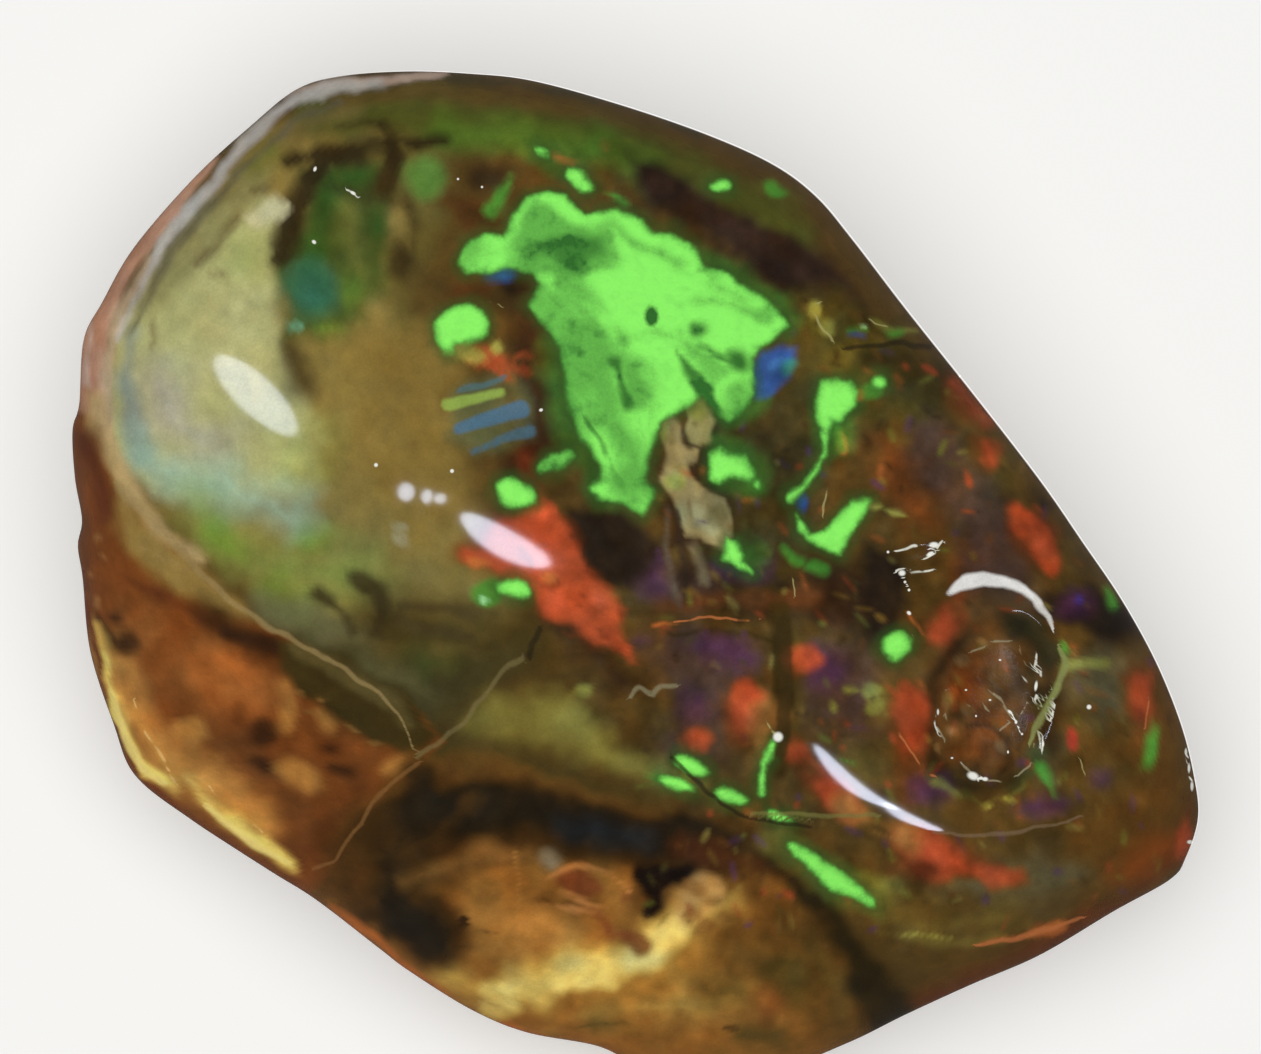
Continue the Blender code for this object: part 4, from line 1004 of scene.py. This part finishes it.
def drift(px, py, size, seed):
    """Smooth random values from about -1 to 1, with hills of size pixels and smaller ones."""
    grid = np.random.default_rng(seed).uniform(-1, 1, (NOISE_GRID, NOISE_GRID))
    total = np.zeros(px.shape)
    for octave in (1, 2, 4):
        u, v = px * octave / size, py * octave / size
        i, j = np.floor(u).astype(int), np.floor(v).astype(int)
        s, t = u - i, v - j
        s, t = s * s * (3 - 2 * s), t * t * (3 - 2 * t)
        i0, j0, i1, j1 = (k % NOISE_GRID for k in (i, j, i + 1, j + 1))
        low = grid[i0, j0] * (1 - s) + grid[i1, j0] * s
        high = grid[i0, j1] * (1 - s) + grid[i1, j1] * s
        total += (low * (1 - t) + high * t) / octave
    return total


def along_line(line, px, py):
    """Distance to a line of points, the share of its length at the nearest point, and the side."""
    line = np.array(line, float)
    lengths = np.hypot(*np.diff(line, axis=0).T)
    reached = np.concatenate([[0.0], np.cumsum(lengths)]) / lengths.sum()
    best = np.full(px.shape, np.inf)
    share = np.zeros(px.shape)
    side = np.ones(px.shape)
    for k, ((ax, ay), (bx, by)) in enumerate(zip(line, line[1:])):
        dx, dy = bx - ax, by - ay
        t = np.clip(((px - ax) * dx + (py - ay) * dy) / (dx * dx + dy * dy), 0, 1)
        gap = np.hypot(px - ax - t * dx, py - ay - t * dy)
        nearer = gap < best
        best = np.where(nearer, gap, best)
        share = np.where(nearer, reached[k] + t * (reached[k + 1] - reached[k]), share)
        side = np.where(nearer, np.sign(dx * (py - ay) - dy * (px - ax)), side)
    return best, share, side


def dab_distance(dab, px, py):
    """Pixels from a dab's edge, and less than 0 inside it."""
    kind, points, size = dab
    if kind == "stroke":
        gap, share, _ = along_line(points, px, py)
        return gap - (size[0] + share * (size[1] - size[0]))
    if kind == "spot":
        turn = math.radians(size[2])
        dx, dy = px - points[0], py - points[1]
        u = dx * math.cos(turn) + dy * math.sin(turn)
        v = -dx * math.sin(turn) + dy * math.cos(turn)
        level = np.hypot(u / size[0], v / size[1])
        steepness = np.hypot(u / size[0] ** 2, v / size[1] ** 2) + 1e-6
        return level * (level - 1) / steepness
    gap, _, _ = along_line(points + points[:1], px, py)
    inside = np.zeros(px.shape, bool)
    for (ax, ay), (bx, by) in zip(points, points[1:] + points[:1]):
        if ay != by:
            inside ^= ((ay > py) != (by > py)) & (px < ax + (py - ay) / (by - ay) * (bx - ax))
    return np.where(inside, -gap, gap) - size


def near_dab(dab, px, py, reach):
    """Which points are within reach of a dab's box."""
    kind, points, size = dab
    points = np.array([points] if kind == "spot" else points, float)
    room = reach + (max(size[:2]) if kind != "patch" else size)
    (left, top), (right, bottom) = points.min(axis=0) - room, points.max(axis=0) + room
    return np.flatnonzero((px > left) & (px < right) & (py > top) & (py < bottom))


def mark_distance(dabs, px, py, reach=FAR):
    """Pixels from the nearest dab's edge, up to reach."""
    best = np.full(px.shape, reach)
    for dab in dabs:
        here = near_dab(dab, px, py, reach)
        best[here] = np.minimum(best[here], dab_distance(dab, px[here], py[here]))
    return np.maximum(best, -reach)


def tone_share(tone_, px, py, wobble):
    """How much of a tone each point shows, from 0 to its strength."""
    _, _, softness, fray, dabs, strength = tone_
    edge = mark_distance(dabs, px, py, REACH) + fray * wobble
    t = np.clip(0.5 - edge / softness, 0, 1)
    return strength * t * t * (3 - 2 * t)


def lay_tones(groups, px, py, wobble):
    """The tones laid one over another on the base colour."""
    colours = np.tile(np.array(seen(BASE_COLOUR)), (len(px), 1))
    for group in groups:
        for tone_ in group:
            share = np.clip(tone_share(tone_, px, py, wobble), 0, 1)[:, None]
            colours += share * (np.array(seen(tone_[1])) - colours)
    return colours


def deepen(colours):
    """The warm colours with a little less blue, as thick amber has."""
    share = colours[:, 2] / (colours[:, :3].max(axis=1) + 1e-6)
    colours[:, 2] *= np.clip(share / 0.34, 0.5, 1) ** 0.5


def cloud_over(colours, px, py):
    """The colours made darker and lighter in patches, as CLOUDING says."""
    depth = np.zeros(px.shape)
    for tone_ in CLOUDING:
        depth = np.maximum(depth, tone_share(tone_, px, py, 0.0))
    level = 0.5 * drift(px, py, 46, 11) + 0.7 * drift(px, py, 17, 12)
    warmth = drift(px, py, 30, 13)
    for channel, tilt in enumerate((0.35, 0.0, -0.35)):
        colours[:, channel] *= np.exp(depth * (level + tilt * warmth))


def scatter_flecks(colours, px, py):
    """Small flecks of colour at random places, from one seed."""
    rng = np.random.default_rng(7)
    (left, top), (right, bottom) = FLECK_AREA
    for _ in range(FLECK_COUNT):
        x, y = rng.uniform(left, right), rng.uniform(top, bottom)
        along, across, tilt = rng.uniform(2, 9), rng.uniform(1.2, 3.5), rng.normal(55, 40)
        colour = np.array(seen(FLECK_COLOURS[rng.integers(len(FLECK_COLOURS))]))
        strength = rng.uniform(0.25, 0.7)
        dab = spot(x, y, along, across, tilt)
        here = near_dab(dab, px, py, 8)
        share = strength * np.clip(0.5 - dab_distance(dab, px[here], py[here]) / 5, 0, 1)[:, None]
        colours[here] += share * (colour - colours[here])


def line_fields(px, py):
    """Place across the nearest fine line, pixels from its edge, and its colour."""
    lane = np.full(px.shape, FAR)
    near = np.full(px.shape, FAR)
    colours = np.zeros((len(px), 4))
    for _, tint, strength, strokes in LINES:
        for dab in strokes:
            here = near_dab(dab, px, py, FAR)
            gap, share, side = along_line(dab[1], px[here], py[here])
            radius = dab[2][0] + share * (dab[2][1] - dab[2][0])
            closer = gap - radius < near[here]
            lane[here] = np.where(closer, side * gap / radius, lane[here])
            gaps = 7 * np.clip(drift(px[here], py[here], 14, 23), 0, 1) * (max(dab[2]) < 2)
            near[here] = np.where(closer, gap - radius + gaps, near[here])
            colours[here[closer]] = (*seen(tint)[:3], strength)
    return lane, near, colours


def wide_fields(px, py):
    """Pixels from the edge of the nearest wide mark, and its colour."""
    near = np.full(px.shape, FAR)
    colours = np.zeros((len(px), 4))
    for _, tint, strength, dabs in WIDE_MARKS:
        edge = mark_distance(dabs, px, py)
        colours[edge < near] = (*seen(tint)[:3], strength)
        near = np.minimum(near, edge)
    return near, colours


def photo_places(places):
    """The pixel of the photograph that shows each point of the stone."""
    scale = PIXELS_PER_MM * (CAMERA_HEIGHT - SCALE_HEIGHT) / (CAMERA_HEIGHT - places[:, 2])
    px = PHOTO_SIZE[0] / 2 + (places[:, 0] - CAMERA_PLACE[0]) * scale
    py = PHOTO_SIZE[1] / 2 - (places[:, 1] - CAMERA_PLACE[1]) * scale
    return px, py


# The stone gives off its own colours at this strength: a painted glow that stands in for light scattered inside it,
# though the stone is no lamp.
PAINTED_GLOW_SHARE = 0.3
POLISH = 0.045
UNDER_SHARE = 0.8
UNDER_FADE = 1.1
UNDER_COLOUR = (96, 66, 34)
DULLNESS = 0.34
TONE_GROUPS = (DOME_TONES, POCKET_TONES, RIM_TONES, LEFT_TONES, FRONT_TONES, SEAM_TONES)


def lay_greens(paint, colour, wobble, cloud):
    """Green flashes: a dull halo, a darker edge, and a bright middle with darker clouds."""
    edge = paint.field("bright green") + wobble
    colour = paint.mix(paint.ramp(edge, 0, 16, 0.6, 0), colour, seen((48, 82, 34)))
    shade = paint.field("green shade") + paint.ramp(cloud, 0.4, 0.9, 0, 0.45)
    inner = paint.mix(paint.ramp(edge, 4, -8), seen((80, 156, 62)), seen((143, 248, 104)))
    inner = paint.mix(shade, inner, seen((48, 104, 42)))
    return paint.mix(paint.ramp(edge, 4, -3), colour, inner)


def lay_lines(paint, colour):
    """Fine lines, from one field across them, one that ends them and one with their colours."""
    across = paint.maths("ABSOLUTE", paint.field("line lane"))
    mask = paint.ramp(across, 1.5, 0.3) * paint.ramp(paint.field("line near"), 4, 1)
    mask = mask * paint.field("line colour", "Alpha")
    return paint.mix(mask, colour, paint.field("line colour", "Color"))


def lay_wide_marks(paint, colour, wobble):
    """Wider marks with sharp edges, among them a painted highlight and a painted glow."""
    mask = paint.ramp(paint.field("mark edge") + wobble * 0.4, 2, -3) * paint.field("mark colour", "Alpha")
    return paint.mix(mask, colour, paint.field("mark colour", "Color"))


def lay_painted_glints(paint, colour):
    """Painted glints of white."""
    painted_glint = paint.add("ShaderNodeSeparateXYZ", {}, {0: paint.field("painted_glint", "Vector")})
    along, across, near = (Wire(paint, painted_glint.socket.node.outputs[k]) for k in range(3))
    level = paint.maths("SQRT", along * along + across * across)
    return paint.mix(paint.ramp(level, 1.3, 0.5) * paint.ramp(near, 5, 2), colour, seen((236, 236, 226)))


def lay_flakes(paint, colour, place, wobble):
    """Small green and red flashes on the underside, which the photograph doesn't show."""
    cells = paint.add("ShaderNodeTexVoronoi", {}, {"Vector": place, "Scale": 0.62})
    chance = Wire(paint, paint.add(
        "ShaderNodeSeparateColor", {}, {0: Wire(paint, cells.socket.node.outputs["Color"])}).socket)
    kind = Wire(paint, chance.socket.node.outputs[1])
    size = paint.ramp(chance, 0.55, 1.0, 0.0, 0.42)
    mask = paint.ramp(cells + wobble * 0.09 - size, 0.05, -0.05) * paint.field("under")
    tint = paint.mix(paint.ramp(kind, 0.62, 0.64), seen((78, 176, 70)), seen((184, 70, 46)))
    return paint.mix(mask, colour, tint)


def opal_material():
    """Glassy polish over the stone's own colours, which the stone also gives off as a painted glow."""
    material = bpy.data.materials.new("polished_opal")
    material.use_nodes = True
    material.cycles.emission_sampling = "NONE"
    paint = Paint(material)
    shader = paint.nodes["Principled BSDF"]
    place = paint.vector(
        "MULTIPLY", paint.add("ShaderNodeTexCoord", output="Object"), (1 / MM, 1 / MM, 1 / MM)
    )
    cloud = paint.noise(place, 2.6, 3, 0.55)
    wobble = (cloud - 0.5) * 9
    grain = paint.noise(place, 20, 1, 0.6)

    colour = paint.field("tones", "Color")
    colour = lay_greens(paint, colour, wobble, cloud)
    colour = lay_wide_marks(paint, colour, wobble)
    colour = lay_lines(paint, colour)
    colour = lay_flakes(paint, colour, place, wobble * 0.4)
    colour = paint.brighter(colour, paint.ramp(grain, 0.2, 0.8, 0.94, 1.06) + cloud * 0.5 - 0.25)
    # Painted glints of white, laid over all the colours.
    colour = lay_painted_glints(paint, colour)

    paint.put(shader.inputs["Base Color"], colour)
    # Painted glow: the colours, painted highlights and glints included, are also given off as light.
    paint.put(shader.inputs["Emission Color"], colour)
    shader.inputs["Emission Strength"].default_value = PAINTED_GLOW_SHARE
    paint.put(shader.inputs["Roughness"], paint.field("dull") * DULLNESS + POLISH)
    shader.inputs["IOR"].default_value = 1.45
    shader.inputs["Specular IOR Level"].default_value = 0.35
    height = paint.noise(place, 6, 4, 0.6) * paint.field("dull")
    bump = paint.add("ShaderNodeBump", {}, {"Height": height, "Strength": 0.5, "Distance": 0.05 * MM})
    paint.put(shader.inputs["Normal"], bump)
    return material


def keep_field(data, name, values):
    data.attributes.new(name, "FLOAT", "POINT").data.foreach_set("value", values.astype(np.float32))


def keep_vector_field(data, name, kind, key, values):
    data.attributes.new(name, kind, "POINT").data.foreach_set(key, values.astype(np.float32).ravel())


def painted_glint_field(px, py):
    """Place in the nearest painted glint, along and across it in its radii, and pixels from its edge."""
    field = np.full((len(px), 3), FAR)
    for x, y, along, across, tilt in PAINTED_GLINTS:
        dab = spot(x, y, along, across, tilt)
        here = near_dab(dab, px, py, FAR / 2)
        near = dab_distance(dab, px[here], py[here])
        turn = math.radians(tilt)
        dx, dy = px[here] - x, py[here] - y
        u = (dx * math.cos(turn) + dy * math.sin(turn)) / along
        v = (-dx * math.sin(turn) + dy * math.cos(turn)) / across
        closer = near < field[here, 2]
        field[here[closer]] = np.column_stack([u, v, near])[closer]
    return field


def folded_under(px, py, drop):
    """The pixels, moved towards the middle by how far a point lies below the widest line."""
    to_x, to_y = STONE_MIDDLE_PIXEL[0] - px, STONE_MIDDLE_PIXEL[1] - py
    share = np.clip(drop, 0, None) * PIXELS_PER_MM / (np.hypot(to_x, to_y) + 1)
    share = np.minimum(share, 0.8)
    return px + share * to_x, py + share * to_y


def paint_fields(data, places):
    """Everything that the material reads from the mesh."""
    px, py = photo_places(places)
    girdle = GIRDLE_SHARE * ground_height(places[:, 0], places[:, 1])
    top_count = 1 + TOP_RINGS * RAYS
    under = np.clip((girdle - places[:, 2]) / 1.6, 0, 1)
    under[:top_count] = 0
    drop = girdle - places[:, 2]
    px, py = folded_under(px, py, drop)
    wobble = drift(px, py, 44, 3)
    warp_x = px + WARP * drift(px, py, 34, 5)
    warp_y = py + WARP * drift(px, py, 34, 6)
    colours = lay_tones(TONE_GROUPS, warp_x, warp_y, wobble)
    plain = UNDER_SHARE * np.clip(drop / UNDER_FADE, 0, 1)[:, None]
    colours += plain * (np.array(seen(UNDER_COLOUR)) - colours)
    scatter_flecks(colours, px, py)
    for tone_ in FLASH_TONES:
        share = tone_share(tone_, warp_x, warp_y, wobble)[:, None] * (1 - under[:, None])
        colours += share * (np.array(seen(tone_[1])) - colours)
    cloud_over(colours, px, py)
    deepen(colours)
    keep_vector_field(data, "tones", "FLOAT_COLOR", "color", colours)
    keep_field(data, "under", under)
    shade = np.zeros(len(px))
    for tone_ in GREEN_SHADES:
        shade = np.maximum(shade, tone_share(tone_, warp_x, warp_y, wobble))
    keep_field(data, "green shade", shade)
    sink = FAR * under
    keep_field(data, "bright green", mark_distance(BRIGHT_GREENS, warp_x, warp_y) + sink)
    lane, near, tints = line_fields(px + 2.5 * drift(px, py, 22, 21), py + 2.5 * drift(px, py, 22, 22))
    keep_field(data, "line lane", lane)
    keep_field(data, "line near", near + sink)
    keep_vector_field(data, "line colour", "FLOAT_COLOR", "color", tints)
    edge, tints = wide_fields(px + 1.5 * drift(px, py, 30, 24), py + 1.5 * drift(px, py, 30, 25))
    keep_field(data, "mark edge", edge + sink)
    keep_vector_field(data, "mark colour", "FLOAT_COLOR", "color", tints)
    painted_glint = painted_glint_field(px, py)
    painted_glint[:, 2] += sink
    keep_vector_field(data, "painted_glint", "FLOAT_VECTOR", "vector", painted_glint)
    pit = np.clip(1.25 - 1.25 * oval(places[:, 0], places[:, 1], PIT_CENTRE, PIT_RADII, PIT_TILT), 0, 1)
    chip = np.clip(1.5 - 1.5 * oval(places[:, 0], places[:, 1], CHIP_CENTRE, CHIP_RADII, CHIP_TILT), 0, 1)
    keep_field(data, "dull", np.maximum(pit, chip))


def make_stone():
    """The polished stone."""
    data, places = stone_mesh()
    paint_fields(data, places)
    stone = bpy.data.objects.new("polished_opal", data)
    bpy.context.scene.collection.objects.link(stone)
    data.materials.append(opal_material())
    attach(stone, "root")
    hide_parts("opal")
    return stone


FLOOR_HALF = 1.5


def make_floor():
    """A plain pale floor."""
    data = bpy.data.meshes.new("floor")
    corners = [(x * FLOOR_HALF, y * FLOOR_HALF, 0) for x, y in ((-1, -1), (1, -1), (1, 1), (-1, 1))]
    data.from_pydata(corners, [], [(0, 1, 2, 3)])
    floor = bpy.data.objects.new("floor", data)
    bpy.context.scene.collection.objects.link(floor)
    material = bpy.data.materials.new("pale_floor")
    material.use_nodes = True
    material.cycles.emission_sampling = "NONE"
    shader = material.node_tree.nodes["Principled BSDF"]
    shader.inputs["Base Color"].default_value = (0.8, 0.8, 0.79, 1.0)
    shader.inputs["Roughness"].default_value = 0.9
    shader.inputs["Specular IOR Level"].default_value = 0.0
    shader.inputs["Emission Color"].default_value = (1.0, 0.995, 0.97, 1.0)
    shader.inputs["Emission Strength"].default_value = 0.36
    data.materials.append(material)
    floor.visible_glossy = False


def make_camera():
    """The photograph's view: straight down, with a long lens."""
    camera = bpy.data.cameras.new("camera")
    camera.sensor_width = SENSOR_WIDTH
    camera.lens = SENSOR_WIDTH * (CAMERA_HEIGHT - SCALE_HEIGHT) * PIXELS_PER_MM / PHOTO_SIZE[0]
    camera.clip_start = 0.01
    camera.clip_end = 10.0
    thing = bpy.data.objects.new("camera", camera)
    thing.location = Vector((*CAMERA_PLACE, CAMERA_HEIGHT)) * MM
    bpy.context.scene.collection.objects.link(thing)
    bpy.context.scene.camera = thing


LAMP_REACH = 300.0


def stone_point(px, py):
    """The point of the upper surface that a pixel of the photograph shows, and its normal."""
    outline = smooth_curve(OUTLINE, FINE_STEP, True)

    def height(x, y):
        rim, _ = nearest_on(outline, np.array([x]), np.array([y]), True)
        return float(top_height(np.array([x]), np.array([y]), rim)[0])

    z = 8.0
    for _ in range(4):
        scale = PIXELS_PER_MM * (CAMERA_HEIGHT - SCALE_HEIGHT) / (CAMERA_HEIGHT - z)
        x = CAMERA_PLACE[0] + (px - PHOTO_SIZE[0] / 2) / scale
        y = CAMERA_PLACE[1] - (py - PHOTO_SIZE[1] / 2) / scale
        z = height(x, y)
    step = 0.05
    slope_x = (height(x + step, y) - height(x - step, y)) / (2 * step)
    slope_y = (height(x, y + step) - height(x, y - step)) / (2 * step)
    return Vector((x, y, z)), Vector((-slope_x, -slope_y, 1)).normalized()


def mirrored(px, py):
    """Where a far thing stands that the polish shows at a pixel of the photograph."""
    point, normal = stone_point(px, py)
    ray = (point - Vector((*CAMERA_PLACE, CAMERA_HEIGHT))).normalized()
    return (point + (ray - 2 * ray.dot(normal) * normal) * LAMP_REACH) * MM


def area_lamp(name, shape, place, aim, along, size, radiance):
    """A flat lamp at place that faces aim, with its longer side towards along."""
    lamp = bpy.data.lights.new(name, "AREA")
    lamp.shape = shape
    lamp.size, lamp.size_y = size
    cover = 1.0 if shape == "RECTANGLE" else math.pi / 4
    lamp.energy = radiance * math.pi * size[0] * size[1] * cover
    thing = bpy.data.objects.new(name, lamp)
    back = (place - aim).normalized()
    side = (along - along.dot(back) * back).normalized()
    turn = Matrix((side, back.cross(side), back)).transposed().to_4x4()
    thing.matrix_world = Matrix.Translation(place) @ turn
    thing.visible_camera = False
    bpy.context.scene.collection.objects.link(thing)
    return thing


def highlight(name, start, end, width, radiance):
    """A lamp that shows only as a bright oval in the polish, from start to end in pixels."""
    middle = ((start[0] + end[0]) / 2, (start[1] + end[1]) / 2)
    length = math.hypot(end[0] - start[0], end[1] - start[1])
    across = (-(end[1] - start[1]) / length * width / 2, (end[0] - start[0]) / length * width / 2)
    place = mirrored(*middle)
    aim = stone_point(*middle)[0] * MM
    half_long = (mirrored(*end) - mirrored(*start)) / 2
    half_wide = (
        mirrored(middle[0] + across[0], middle[1] + across[1])
        - mirrored(middle[0] - across[0], middle[1] - across[1])
    ) / 2
    back = (place - aim).normalized()
    side = (half_long - half_long.dot(back) * back).normalized()
    up = back.cross(side)
    turns, sizes, _ = np.linalg.svd(
        [[half_long.dot(side), half_wide.dot(side)], [half_long.dot(up), half_wide.dot(up)]]
    )
    along = side * float(turns[0, 0]) + up * float(turns[1, 0])
    lamp = area_lamp(name, "ELLIPSE", place, aim, along, tuple(2 * float(v) for v in sizes), radiance)
    lamp.data.color = (0.86, 0.94, 1.14)
    lamp.visible_diffuse = False


HIGHLIGHTS = (
    ("left_shine", (217, 358), (297, 434), 38, 15),
    ("middle_shine", (457, 516), (543, 566), 28, 27),
    ("near_shine", (812, 758), (893, 813), 13, 30),
    ("near_shine_end", (889, 811), (943, 833), 8, 30),
    ("first_dot", (398, 491), (414, 493), 18, 24),
    ("second_dot", (422, 495), (432, 498), 14, 24),
    ("third_dot", (434, 499), (446, 498), 10, 24),
)


def make_lights():
    """A wide soft light above, and small lamps that show in the polish."""
    soft = area_lamp(
        "soft_light", "DISK", Vector((-0.02, 0.02, 0.7)), Vector((0, 0, 0)), Vector((1, 0, 0)),
        (0.7, 0.7), 3.2,
    )
    soft.visible_glossy = False
    for row in HIGHLIGHTS:
        highlight(*row)


ROOM_LIGHT = 0.05
RIM_GLOW = 1.2
RIM_GLOW_TOWARDS = Vector((0.093, 0.078, -0.9925)).normalized()


def make_world():
    """An even, dim room, with a pale glow from below that draws the far right rim."""
    world = bpy.data.worlds.new("studio")
    bpy.context.scene.world = world
    world.use_nodes = True
    world.cycles.sampling_method = "NONE"
    paint = Paint(world)
    towards = paint.add("ShaderNodeTexCoord", output="Generated")
    level = paint.vector("DOT_PRODUCT", towards, tuple(RIM_GLOW_TOWARDS), output=1)
    background = paint.nodes["Background"]
    background.inputs["Color"].default_value = (1, 1, 1, 1)
    paint.put(background.inputs["Strength"], paint.ramp(level, 0.991, 0.9945, ROOM_LIGHT, RIM_GLOW))


make_stone()
make_floor()
make_camera()
make_lights()
make_world()
bpy.context.scene.view_settings.view_transform = "Standard"
